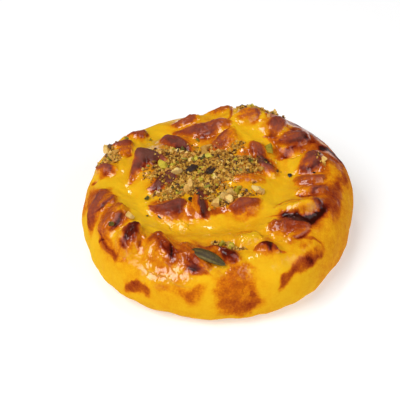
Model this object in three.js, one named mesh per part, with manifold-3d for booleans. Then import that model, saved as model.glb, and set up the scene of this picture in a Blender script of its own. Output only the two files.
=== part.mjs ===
// A large pinched maamoul: a round, glazed cake of dough whose top is worked with pinching tongs
// into a ring of ridges along the rim and a rosette in the middle, strewn with chopped pistachio
// and other nuts. Millimetres, +Z up; the cookie rests on z = 0.
//
// The dough is one sheet laid over a disc. A point of the disc, (x, y), is as far from the disc's
// middle as it is from the middle of the top, measured along the surface: over the top, round the
// shoulder and down the wall to the foot. Pinches and toppings are placed in that disc.
import * as THREE from "three";
import { mergeVertices } from "three/addons/utils/BufferGeometryUtils.js";
import Module from "manifold-3d";

// ---- the plain cake ------------------------------------------------------------------------
const RADIUS = 38; // mean radius at the widest line
const SHOULDER = 29.5; // radius where the top turns down into the wall
const FOOT = 30; // radius of the flat underside
const RIM_HEIGHT = 17.2; // the dough at the rim, under the pinches
const WAIST_HEIGHT = 6.4; // the widest line above the foot
const WALL = 29; // length of the wall from shoulder to foot
const WALL_POWER = 2.3; // fullness of the wall's arcs; 2 is an ellipse
const REACH = SHOULDER + WALL; // from the middle of the top to the foot

// The outline isn't round. Each lobe: how many bulges, share of the radius, direction of one.
const LOBES = [
  [2, 0.013, -2],
  [3, 0.034, 22],
  [4, 0.028, 38],
];
// Each swell below: its direction, half-width in degrees, and size.
const SIDE_SWELLS = [[156, 15, -0.03]]; // of the outline, as a share of the radius
const RIM_SWELLS = [
  [60, 22, 4.2],
  [80, 17, 3.1],
  [124, 16, -2.9],
  [330, 40, 0.4],
]; // of the rim, upwards
const FOOT_SWELLS = [
  [289, 13, -0.04],
  [318, 8, -0.02],
  [160, 18, -0.04],
  [40, 12, -0.04],
]; // of the foot's radius, as a share: there the dough drew back from the tray
const RIM_SWELL_RUN = 14; // how far a rim swell reaches inwards and down the wall

// ---- the top -------------------------------------------------------------------------------
const HEART = [-4, 6]; // middle of the rosette
const HEART_RADIUS = 19; // the raised middle
const HEART_RISE = 0.9;
const HEART_SLOPE = 11; // width of the slope from it to the moat
const MOAT_RADIUS = 22.5; // the smooth band between rosette and rim ring, about the heart
const MOAT_WIDTH = 3.6;
const MOAT_DEPTH = 1.1;
const RIM_ROLL = 4; // half-width of the rim, where the moat ends

// Every ridge that the tongs pinched up, in the disc:
// [direction and reach of its middle, heading, length, width, height, bow, peak, side, roundness].
// Headings run counter-clockwise from +X. The bow is how far the crest curves to the left of its
// heading, and the peak where it is highest, from -1 at its start to 1 at its end. The side is the
// one that falls steeply: 1 left of the heading, -1 right. The crest is keen at roundness 0 and a
// full roll at 1.
const RIM_PINCHES = [
  [354, 26.2, 0, 9.6, 4.8, 2, -0.6, 0.3, -1, 1],
  [4.5, 25.4, 356, 8.8, 4.8, 2.1, -0.7, 0.2, -1, 1],
  [18.5, 26.6, 78, 8, 9.4, 3.3, -0.3, 0.1, -1, 0.8],
  [40, 26.5, 12, 9, 7.2, 3.1, -0.6, 0.2, -1, 1],
  [53, 26.8, 73, 7.5, 6.4, 2.8, -0.2, 0.2, 1, 1],
  [71, 28.2, 1, 8, 6, 2, -0.7, 0.2, 1, 0.7],
  [89, 32.5, 358, 10, 6, 1.4, -1.7, 0.2, 1, 0.6],
  [107, 30.6, 20, 12, 4.6, 2.3, -1, 0.2, 1, 0.4],
  [133, 31.6, 14, 6.5, 4.6, 2.5, -1.8, 0.2, -1, 0.6],
  [146, 31.1, 18, 7, 4.6, 2.3, -1.2, 0, -1, 0.5],
  [150, 29.8, 11, 6, 4.4, 1.7, -0.8, 0.3, -1, 0.9],
  [166, 32.4, 349, 7, 4.8, 1.9, -0.5, 0, -1, 0.6],
  [193, 34.4, 67, 14, 7.6, 2.2, 0.3, 0.1, 1, 0.4],
  [195, 31.6, 48, 9, 5.6, 2.3, -1, 0.2, -1, 0.4],
  [206, 31.3, 60, 11, 7.2, 2.9, -1.2, 0.2, -1, 0.6],
  [225, 30.8, 90, 9.5, 6.2, 4, 0, 0.5, -1, 1],
  [243, 28.9, 124, 13.6, 7.4, 3.3, 0.7, 0.55, -1, 1],
  [258, 30.2, 137, 12, 7.2, 3, 1, 0.5, 1, 0.7],
  [272, 28.1, 153, 9.6, 5.4, 3.2, 0.5, -0.1, 1, 0.5],
  [296, 28.8, 359, 7, 5.4, 3, 0.9, 0, -1, 0],
  [291, 24.2, 22, 7.4, 5.6, 2.3, 0.8, 0, -1, 1],
  [319, 25.8, 360, 12, 7.2, 2.7, -0.6, 0.1, -1, 0.6],
  [335.5, 25.2, 14, 14.6, 6.4, 3.7, -3, 0.3, -1, 0.7],
  [216, 36.3, 301, 11.2, 2.6, 1.2, -0.9, 0, -1, 0.6],
  [210, 28.2, 350, 3.9, 3, 1.1, 0, 0, 1, 1],
];
const HEART_PINCHES = [
  [164, 23.4, 66, 13, 6, 3.2, -0.6, 0.5, 1, 0.2],
  [152, 20.4, 332, 10.5, 8, 4.3, -1.6, -0.3, 1, 0.2],
  [181, 15.3, 38, 10.5, 6.2, 2.9, -1, 0.5, 1, 0.4],
  [213, 16.2, 2, 11.4, 6.2, 3.1, -1.7, 0.55, 1, 0.1],
  [229, 18.3, 323, 14, 4.6, 1, 0, 0, -1, 1],
  [245, 10, 104, 10, 5.2, 3.3, 1.3, 0.5, 1, 0.3],
  [314, 10.8, 24, 11, 5.4, 2.5, 0.2, -0.3, 1, 0.3],
  [9, 8.2, 9, 11.6, 4.6, 1.9, -0.3, 0, -1, 0.8],
  [50, 16.4, 100, 6, 6.4, 2.5, 0, 0.2, 1, 1],
  [31, 15.6, 303, 9.5, 5.6, 1.9, -0.5, 0.2, 1, 0.6],
  [85, 16.3, 49, 12, 8.4, 2.7, -0.7, 0.2, 1, 0.2],
  [99, 23.9, 355, 18, 9, 3.3, -1.2, 0.4, 1, 0.3],
  [120, 20.8, 316, 13, 8.4, 3.5, 0.6, -0.1, 1, 0.2],
];
const STEEP_SHARE = 0.36; // the steep flank's share of a ridge's width
const PRINT_DEPTH = 0.28; // the tongs' print beside a ridge, as a share of its height
const PRINT_WIDTH = 0.3; // and its half-width, as a share of the ridge's width
const MERGE_POWER = 5; // how sharply ridges that meet are told apart
// Every ridge stands on a low mound.
const MOUND_HEIGHT = 0.5; // as a share of the ridge's height
const MOUND_WIDTH = 0.9; // and its half-width, as a share of the ridge's width
const BOW_END = 1.2; // past this, a crest's line runs on straight
// Each of these for a keen ridge and for a full roll.
const END_WIDTH = [0.1, 0.5]; // width at the ends, as a share
const NARROWING = [0.75, 0.4]; // how evenly it narrows to them; 1 is as a parabola
const STEEP_CURVE = [1.6, 2.6]; // how long the steep flank keeps up before it falls
const GENTLE_CURVE = [1.25, 2.1]; // and the gentle one

// ---- what lies on it -----------------------------------------------------------------------
// Scatters of grains:
// [direction and reach of the middle, half-length, half-width, heading, grains, largest, smallest].
const SCATTERS = [
  [133, 7, 15, 10.5, 8, 40, 2.4, 1.1],
  [157, 33, 5, 2.6, 60, 9, 2.4, 1.1],
  [72, 34, 6, 1.6, -14, 8, 1.9, 1.1],
  [276, 25, 4.2, 1.6, -12, 6, 1.8, 1.1],
];
// The largest pieces, and those that lie alone: [direction, reach, size].
const SINGLES = [
  [151, 34.8, 3],
  [104, 12.5, 3.4],
  [169, 11.2, 2.6],
  [196, 7.5, 2.8],
  [268, 8.3, 2.6],
  [285, 6.9, 2.8],
  [344, 11.2, 2.8],
  [160, 15.7, 2.7],
  [148, 8.3, 2.6],
  [44, 19.3, 3],
  [211, 27.3, 2.7],
  [197, 19.9, 1.7],
  [216, 21, 1.2],
  [15, 20.4, 1.4],
  [212, 32.2, 1.6],
];
const COARSE_GRAIN = 1.7; // grains above this size have twenty faces, and smaller ones eight
const GRAIN_SUNK = 0.22; // how far a grain's middle stands clear, as a share of its size
const SHAKE = 0.8; // how far a grain may lie from its even place
// The fine crumb under the grains is a low heap: middle, half-length, half-width, thickness.
const HEAP = { x: -4.5, y: 5.2, long: 13, wide: 9.5, thick: 0.8 };

// A split pistachio that lies over the rim, from end to end.
const SLIVER = { from: [256, 29.4], to: [273.5, 32.4], width: 2.9, thick: 1.7, bow: 0.7, lift: 2 };
const SLIVER_STATIONS = 8;
const SLIVER_SIDES = 7;

// ---- fineness of the faces -----------------------------------------------------------------
const RINGS = 15; // rings of faces from the middle of the top to the foot
const FINE_EDGE = 2.2; // no edge shorter than this is split
const FLAT_ENOUGH = 0.2; // an edge that stands off the surface by more than this is split
const PASSES = 2;
const RIDGE_STATIONS = [-1, -0.8, -0.45, 0, 0.45, 0.8, 1]; // along a ridge
const RIDGE_SECTION = [-1, -0.65, -0.3, 0, 0.35, 0.7, 1.05]; // across it: gentle foot, crest, steep foot
const EDGE_SUNK = 0.3; // how far a ridge's edges lie inside the dough
const RIDGE_ROOT = 2.2; // how deep it goes

const { cos, sin, sqrt, abs, hypot, exp, min, max, PI } = Math;
const { degToRad, radToDeg, euclideanModulo, smoothstep, clamp, lerp } = THREE.MathUtils;
const GOLDEN_TURN = PI * (3 - sqrt(5));

const bell = (x) => exp(-x * x);
const polar = (degrees, reach) => [reach * cos(degToRad(degrees)), reach * sin(degToRad(degrees))];

// A draw from 0 to 1 that is always the same for the same n.
function draw(n) {
  return euclideanModulo(sin(n * 12.9898 + 4.1414) * 43758.5453, 1);
}

// The sum of the swells at an angle.
function swelling(angle, swells) {
  return swells.reduce((sum, [direction, width, size]) => {
    const off = euclideanModulo(radToDeg(angle) - direction + 180, 360) - 180;
    return sum + size * bell(off / width);
  }, 0);
}

function outline(angle) {
  const lobes = LOBES.map(([count, size, direction]) => size * cos(count * (angle - degToRad(direction))));
  return 1 + lobes.reduce((sum, lobe) => sum + lobe) + swelling(angle, SIDE_SWELLS);
}

// Low lumps all over the dough, as no hand-shaped wall is turned true.
function lumps(x, y) {
  const broad = sin(0.19 * x + 0.11 * y + 1) * sin(0.16 * y - 0.07 * x + 2);
  const small = sin(0.37 * x - 0.29 * y + 4) * sin(0.41 * y + 0.23 * x);
  return 0.34 * broad + 0.16 * small;
}

// ---- the dough's surface -------------------------------------------------------------------
// The plain top at (x, y): raised in the heart, sunk in the moat.
function topRelief(x, y, reach) {
  const fromHeart = hypot(x - HEART[0], y - HEART[1]);
  const edge = HEART_RADIUS + 3;
  const heart = HEART_RISE * (1 - smoothstep(fromHeart, edge - HEART_SLOPE, edge));
  const moat = MOAT_DEPTH * bell((fromHeart - MOAT_RADIUS) / MOAT_WIDTH);
  return heart - moat * (1 - bell((SHOULDER - reach) / RIM_ROLL));
}

// The plain cake, without pinches: the place in space of point (x, y) of the disc.
function cake(x, y) {
  const reach = min(hypot(x, y), REACH);
  const angle = Math.atan2(y, x);
  const rim = RIM_HEIGHT + swelling(angle, RIM_SWELLS) * bell((reach - SHOULDER) / RIM_SWELL_RUN);
  const wide = lerp(1, outline(angle), min(reach / SHOULDER, 1));
  let radius = reach;
  let height = rim;
  if (reach <= SHOULDER) {
    height += topRelief(x, y, reach);
  } else {
    const turn = (PI / 2) * (1 - (2 * (reach - SHOULDER)) / WALL);
    const out = max(cos(turn), 0) ** (2 / WALL_POWER);
    const up = abs(sin(turn)) ** (2 / WALL_POWER);
    const inner = turn > 0 ? SHOULDER : FOOT * (1 + swelling(angle, FOOT_SWELLS));
    radius = lerp(inner, RADIUS, out);
    height = turn > 0 ? lerp(WAIST_HEIGHT, rim, up) : WAIST_HEIGHT * (1 - up);
  }
  return new THREE.Vector3(radius * wide * cos(angle), radius * wide * sin(angle), height);
}

function normal(x, y) {
  const step = 0.2;
  const across = cake(x + step, y).sub(cake(x - step, y));
  const along = cake(x, y + step).sub(cake(x, y - step));
  return across.cross(along).normalize();
}

const pinches = [...RIM_PINCHES, ...HEART_PINCHES].map(
  ([direction, reach, heading, length, width, height, bow, peak, side, round]) => {
    const [x, y] = polar(direction, reach);
    const [ux, uy] = polar(heading, 1);
    // A short, wide pinch is a round knob, and a long one tapers to its ends.
    const taper = clamp(length / width - 1.4, 0.5, 1.3);
    return { x, y, ux, uy, half: length / 2, width, height, bow, peak, side, round, taper };
  },
);

// How full a ridge is at `along` (-1 … 1): 1 at its peak and 0 at its ends.
function fullness(p, along) {
  const fromPeak = (along - p.peak) / (along < p.peak ? 1 + p.peak : 1 - p.peak);
  return 1 - fromPeak * fromPeak;
}

// How wide a ridge's flank is at `along`, on its steep or its gentle side.
function flank(p, along, isSteep) {
  const share = isSteep ? STEEP_SHARE : 1 - STEEP_SHARE;
  const full = fullness(p, along) ** lerp(...NARROWING, p.round);
  return p.width * share * lerp(lerp(...END_WIDTH, p.round), 1, full);
}

const crestBow = (p, along) => p.bow * (0.4 - along * along);

// The disc point that lies `along` a ridge and `left` of its crest.
function besideCrest(p, along, left) {
  const aside = left + crestBow(p, along);
  return [
    p.x + along * p.half * p.ux - aside * p.uy,
    p.y + along * p.half * p.uy + aside * p.ux,
  ];
}

// One pinch at (x, y): how high its ridge and its mound stand there, and how deep the tongs
// pressed beside it.
function pinch(p, x, y) {
  const along = ((x - p.x) * p.ux + (y - p.y) * p.uy) / p.half;
  const left = (y - p.y) * p.ux - (x - p.x) * p.uy - crestBow(p, clamp(along, -BOW_END, BOW_END));
  const mound = MOUND_HEIGHT * p.height * bell(along) * bell(left / (MOUND_WIDTH * p.width));
  if (abs(along) >= 1) return [0, mound, 0];
  const isSteep = left * p.side > 0;
  const run = flank(p, along, isSteep);
  const v = min(abs(left) / run, 1);
  const crest = p.height * fullness(p, along) ** p.taper;
  const steep = (1 - v ** lerp(...STEEP_CURVE, p.round)) ** 0.9;
  const gentle = (1 - v ** lerp(...GENTLE_CURVE, p.round)) ** 1.5;
  const fromFoot = (abs(left) - run) / (PRINT_WIDTH * p.width);
  const print = PRINT_DEPTH * p.height * (1 - along * along) * bell(fromFoot - 0.8);
  return [crest * (isSteep ? steep : gentle), mound, print];
}

// What the tongs, the fine crumb and the dough's own lumps add, square to the plain cake.
function relief(x, y, hasRidges) {
  let raised = 0;
  let print = 0;
  for (const p of pinches) {
    const [ridge, mound, down] = pinch(p, x, y);
    raised += mound ** MERGE_POWER + (hasRidges ? ridge ** MERGE_POWER : 0);
    print = max(print, down);
  }
  const high = raised ** (1 / MERGE_POWER);
  const heap = HEAP.thick * bell(((x - HEAP.x) / HEAP.long) ** 2 + ((y - HEAP.y) / HEAP.wide) ** 2);
  return high - print * exp(-high) + heap + lumps(x, y);
}

// The dough's surface over (x, y), with or without its ridges, and raised by `extra`.
function surface(x, y, { extra = 0, hasRidges = true } = {}) {
  const fade = smoothstep(REACH - hypot(x, y), 0, 9);
  const place = cake(x, y).addScaledVector(normal(x, y), relief(x, y, hasRidges) * fade + extra);
  place.z = max(place.z, 0);
  return place;
}

// ---- the plain cake's faces ----------------------------------------------------------------
// Rings of 6, 12, 18 … points round the middle of the disc, joined by triangles.
function discMesh() {
  const points = [[0, 0]];
  const faces = [];
  const first = (ring) => (ring ? 1 + 3 * ring * (ring - 1) : 0);
  for (let ring = 1; ring <= RINGS; ring++) {
    const count = 6 * ring;
    for (let i = 0; i < count; i++) points.push(polar((360 * i) / count, (REACH * ring) / RINGS));
    const outer = (i) => first(ring) + (i % count);
    const inner = (i) => first(ring - 1) + (ring > 1 ? i % (count - 6) : 0);
    for (let sector = 0; sector < 6; sector++)
      for (let i = 0; i < ring; i++) {
        const [out, into] = [sector * ring + i, sector * (ring - 1) + i];
        faces.push([outer(out), outer(out + 1), inner(into)]);
        if (i < ring - 1) faces.push([outer(out + 1), inner(into + 1), inner(into)]);
      }
  }
  return { points, faces };
}

// A triangle parted by the middles of those of its edges that are split; -1 is an edge that isn't.
function partedFace([a, b, c], [ab, bc, ca]) {
  const split = [ab, bc, ca].filter((middle) => middle >= 0).length;
  if (split === 0) return [[a, b, c]];
  if (split === 3) return [[a, ab, ca], [ab, b, bc], [ca, bc, c], [ab, bc, ca]];
  // Turn the triangle until its first edge is the one that is split, or the one that isn't.
  const isOdd = (middle) => middle >= 0 === (split === 1);
  if (!isOdd(ab)) return partedFace([b, c, a], [bc, ca, ab]);
  if (split === 1) return [[a, ab, c], [ab, b, c]];
  return [[bc, c, ca], [b, bc, ca], [b, ca, a]];
}

// Splits every edge that stands off the surface.
function refine({ points, faces }) {
  const plain = ([x, y]) => surface(x, y, { hasRidges: false });
  const places = points.map(plain);
  const middles = new Map();
  const middleOf = (a, b) => {
    const key = min(a, b) * 1e6 + max(a, b);
    if (!middles.has(key)) {
      const point = [(points[a][0] + points[b][0]) / 2, (points[a][1] + points[b][1]) / 2];
      const chord = places[a].clone().lerp(places[b], 0.5);
      const isSplit =
        chord.distanceTo(plain(point)) > FLAT_ENOUGH &&
        places[a].distanceTo(places[b]) > FINE_EDGE &&
        hypot(...point) < REACH * (1 - 0.5 / RINGS);
      middles.set(key, isSplit ? points.push(point) - 1 : -1);
    }
    return middles.get(key);
  };
  const parted = faces.flatMap(([a, b, c]) =>
    partedFace([a, b, c], [middleOf(a, b), middleOf(b, c), middleOf(c, a)]),
  );
  return { points, faces: parted };
}

// The dough without its ridges, closed underneath by a fan from the middle of the foot.
function cakeGeometry() {
  let mesh = discMesh();
  for (let pass = 0; pass < PASSES; pass++) mesh = refine(mesh);
  const places = mesh.points.map(([x, y]) => surface(x, y, { hasRidges: false }));
  const footLine = 6 * RINGS;
  const first = 1 + 3 * RINGS * (RINGS - 1);
  for (let i = 0; i < footLine; i++) {
    places[first + i].z = 0;
    mesh.faces.push([first + ((i + 1) % footLine), first + i, places.length]);
  }
  places.push(new THREE.Vector3(0, 0, 0));
  return new THREE.BufferGeometry().setFromPoints(places).setIndex(mesh.faces.flat());
}

// ---- the ridges ----------------------------------------------------------------------------
// A closed slab between two grids of points, `columns` by `rows`, the upper grid's faces up.
function slabGeometry(columns, rows, upper, lower) {
  const points = [];
  for (const grid of [upper, lower])
    for (let i = 0; i < columns; i++) for (let j = 0; j < rows; j++) points.push(grid(i, j));
  const index = [];
  const quad = (a, b, c, d) => index.push(a, b, c, a, c, d);
  const up = (i, j) => i * rows + j;
  const low = (i, j) => up(i, j) + columns * rows;
  const [lastI, lastJ] = [columns - 1, rows - 1];
  for (let i = 0; i < lastI; i++) {
    for (let j = 0; j < lastJ; j++) {
      quad(up(i, j), up(i + 1, j), up(i + 1, j + 1), up(i, j + 1));
      quad(low(i, j), low(i, j + 1), low(i + 1, j + 1), low(i + 1, j));
    }
    quad(low(i, 0), low(i + 1, 0), up(i + 1, 0), up(i, 0));
    quad(up(i, lastJ), up(i + 1, lastJ), low(i + 1, lastJ), low(i, lastJ));
  }
  for (let j = 0; j < lastJ; j++) {
    quad(low(0, j + 1), low(0, j), up(0, j), up(0, j + 1));
    quad(up(lastI, j + 1), up(lastI, j), low(lastI, j), low(lastI, j + 1));
  }
  return new THREE.BufferGeometry().setFromPoints(points).setIndex(index);
}

// The ridge of one pinch, with a line of points along its crest. Its edges and underside lie
// inside the dough that it grows from.
function ridgeGeometry(p) {
  const [columns, rows] = [RIDGE_STATIONS.length, RIDGE_SECTION.length];
  const point = (i, j) => {
    const along = RIDGE_STATIONS[i];
    const share = RIDGE_SECTION[p.side > 0 ? j : rows - 1 - j];
    return besideCrest(p, along, p.side * share * flank(p, along, share > 0));
  };
  const isEdge = (i, j) => i % (columns - 1) === 0 || j % (rows - 1) === 0;
  const top = (i, j) =>
    surface(...point(i, j), isEdge(i, j) ? { extra: -EDGE_SUNK, hasRidges: false } : {});
  const root = (i, j) => surface(...point(i, j), { extra: -RIDGE_ROOT, hasRidges: false });
  return slabGeometry(columns, rows, top, root);
}

// ---- the toppings --------------------------------------------------------------------------
// A broken nut: a rough lump with its own proportions, sunk a little into what it lies on.
function grain(n, x, y, size) {
  const Rough = size > COARSE_GRAIN ? THREE.IcosahedronGeometry : THREE.OctahedronGeometry;
  const sphere = new Rough(size / 2, 0).deleteAttribute("normal").deleteAttribute("uv");
  const lump = mergeVertices(sphere);
  const corners = lump.getAttribute("position");
  for (let i = 0; i < corners.count; i++) {
    const rough = lerp(0.82, 1.12, draw(n + 7 * i));
    corners.setXYZ(i, corners.getX(i) * rough, corners.getY(i) * rough, corners.getZ(i) * rough);
  }
  lump.scale(1 + 0.35 * draw(n), 0.75 + 0.3 * draw(n + 0.3), 0.6 + 0.3 * draw(n + 0.6));
  lump.rotateX(0.6 * (draw(n + 0.1) - 0.5));
  lump.rotateY(0.6 * (draw(n + 0.2) - 0.5));
  lump.rotateZ(2 * PI * draw(n + 0.4));
  return lump.translate(...surface(x, y, { extra: GRAIN_SUNK * size }));
}

// Grains spread evenly over an ellipse by the golden angle, and then shaken a little.
function scatter([direction, reach, long, wide, heading, count, largest, smallest], seed) {
  const [x, y] = polar(direction, reach);
  const [ux, uy] = polar(heading, 1);
  return Array.from({ length: count }, (_, i) => {
    const out = sqrt((i + 0.5) / count) ** 1.15;
    const turn = GOLDEN_TURN * i + seed;
    const a = long * out * cos(turn) + SHAKE * (draw(seed + i) - 0.5);
    const b = wide * out * sin(turn) + SHAKE * (draw(seed + i + 0.5) - 0.5);
    const size = lerp(smallest, largest, draw(seed + 3 * i) ** 2);
    return grain(seed + i, x + a * ux - b * uy, y + a * uy + b * ux, size);
  });
}

// The sliver: pointed at both ends, and bent over the rim as it lies.
function sliverGeometry() {
  const [from, to] = [polar(...SLIVER.from), polar(...SLIVER.to)];
  const at = (t) => [lerp(from[0], to[0], t), lerp(from[1], to[1], t)];
  const middle = (t) =>
    cake(...at(t)).addScaledVector(normal(...at(t)), SLIVER.lift + SLIVER.bow * sin(PI * t));
  const points = [];
  for (let i = 1; i < SLIVER_STATIONS; i++) {
    const t = i / SLIVER_STATIONS;
    const full = (1 - abs(2 * t ** 0.8 - 1) ** 2.8) ** 0.75;
    const up = normal(...at(t));
    const side = up.clone().cross(middle(t + 0.1).sub(middle(t - 0.1))).normalize();
    for (let k = 0; k < SLIVER_SIDES; k++) {
      const [a, b] = polar((360 * k) / SLIVER_SIDES, full / 2);
      points.push(middle(t).addScaledVector(side, a * SLIVER.width).addScaledVector(up, b * SLIVER.thick));
    }
  }
  const start = points.push(middle(0)) - 1;
  const end = points.push(middle(1)) - 1;
  const corner = (i, k) => i * SLIVER_SIDES + (k % SLIVER_SIDES);
  const last = SLIVER_STATIONS - 2;
  const index = [];
  for (let k = 0; k < SLIVER_SIDES; k++) {
    index.push(start, corner(0, k + 1), corner(0, k));
    index.push(end, corner(last, k), corner(last, k + 1));
    for (let i = 0; i < last; i++) {
      index.push(corner(i, k), corner(i, k + 1), corner(i + 1, k));
      index.push(corner(i, k + 1), corner(i + 1, k + 1), corner(i + 1, k));
    }
  }
  return new THREE.BufferGeometry().setFromPoints(points).setIndex(index);
}

// ---- the whole cookie, joined --------------------------------------------------------------
const wasm = await Module();
wasm.setup();

function solid(geometry) {
  const vertProperties = new Float32Array(geometry.getAttribute("position").array);
  const triVerts = new Uint32Array(geometry.getIndex().array);
  return new wasm.Manifold(new wasm.Mesh({ numProp: 3, vertProperties, triVerts }));
}

function cookieGeometry() {
  const pieces = [
    ...pinches.map(ridgeGeometry),
    ...SCATTERS.flatMap((row, i) => scatter(row, 101 * (i + 1))),
    ...SINGLES.map(([direction, reach, size], i) => grain(900 + i, ...polar(direction, reach), size)),
    sliverGeometry(),
  ];
  const joined = pieces.reduce((whole, piece) => whole.add(solid(piece)), solid(cakeGeometry()));
  // The largest body alone is kept: loose scraps go, and hollows that the joining sealed are filled.
  const body = joined.decompose().reduce((a, b) => (b.volume() > a.volume() ? b : a));
  const { vertProperties, triVerts } = body.getMesh();
  const geometry = new THREE.BufferGeometry()
    .setAttribute("position", new THREE.BufferAttribute(vertProperties, 3))
    .setIndex(new THREE.BufferAttribute(triVerts, 1));
  geometry.computeBoundingBox();
  const middle = geometry.boundingBox.getCenter(new THREE.Vector3());
  geometry.translate(-middle.x, -middle.y, 0);
  geometry.computeVertexNormals();
  return geometry;
}

const goldenDough = new THREE.MeshStandardMaterial({ color: 0xe8ac2b, roughness: 0.35, metalness: 0 });

const root = new THREE.Group();
const cookie = new THREE.Mesh(cookieGeometry(), goldenDough);
cookie.name = "cookie";
root.add(cookie);

export default root;
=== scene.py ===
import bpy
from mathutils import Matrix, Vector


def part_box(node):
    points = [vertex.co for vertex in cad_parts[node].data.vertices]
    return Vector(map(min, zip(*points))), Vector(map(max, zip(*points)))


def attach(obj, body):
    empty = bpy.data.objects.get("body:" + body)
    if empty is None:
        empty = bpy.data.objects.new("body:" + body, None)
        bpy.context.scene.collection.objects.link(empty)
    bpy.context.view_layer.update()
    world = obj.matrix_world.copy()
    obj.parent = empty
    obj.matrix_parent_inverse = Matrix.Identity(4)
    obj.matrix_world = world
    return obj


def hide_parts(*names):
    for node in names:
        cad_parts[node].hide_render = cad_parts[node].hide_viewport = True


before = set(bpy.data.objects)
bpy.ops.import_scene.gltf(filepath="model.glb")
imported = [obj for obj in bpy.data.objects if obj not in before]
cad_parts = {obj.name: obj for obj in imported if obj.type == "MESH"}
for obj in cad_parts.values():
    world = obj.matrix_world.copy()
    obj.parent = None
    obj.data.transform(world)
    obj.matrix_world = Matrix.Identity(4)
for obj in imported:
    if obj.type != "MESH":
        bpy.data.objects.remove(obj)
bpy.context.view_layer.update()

import math
from itertools import combinations

import bpy
import numpy as np
from mathutils import Quaternion, Vector

MM = 0.001

# The dough is one sheet laid over a disc, as in the solid that it replaces: a point (x, y) of the
# disc, in millimetres, is as far from the disc's middle as it is from the middle of the top,
# measured along the surface: over the top, round the shoulder and down the wall to the foot.

# ---- the plain cake, in millimetres ----
RADIUS = 38.0
SHOULDER = 29.5
FOOT = 30.0
RIM_HEIGHT = 17.2
WAIST_HEIGHT = 6.4
WALL = 29.0
WALL_POWER = 2.3
REACH = SHOULDER + WALL
# The relief fades out over this distance from the edge of the foot.
FOOT_FADE = 9.0

# How many bulges, share of the radius, direction of one.
LOBES = [(2, 0.013, -2), (3, 0.034, 22), (4, 0.028, 38)]
# Direction, half-width in degrees, and size.
SIDE_SWELLS = [(156, 15, -0.03)]
RIM_SWELLS = [(60, 22, 4.2), (80, 17, 3.1), (124, 16, -2.9), (330, 40, 0.4)]
FOOT_SWELLS = [(289, 13, -0.04), (318, 8, -0.02), (160, 18, -0.04), (40, 12, -0.04)]
RIM_SWELL_RUN = 14.0
BROAD_LUMPS = 0.34
SMALL_LUMPS = 0.16

HEART = (-4.0, 6.0)
HEART_EDGE = 22.0
HEART_RISE = 0.9
HEART_SLOPE = 11.0
MOAT_RADIUS = 22.5
MOAT_WIDTH = 3.6
MOAT_DEPTH = 1.1
RIM_ROLL = 4.0
HEAP = {"x": -4.5, "y": 5.2, "long": 13.0, "wide": 9.5, "thick": 0.8}

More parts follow.
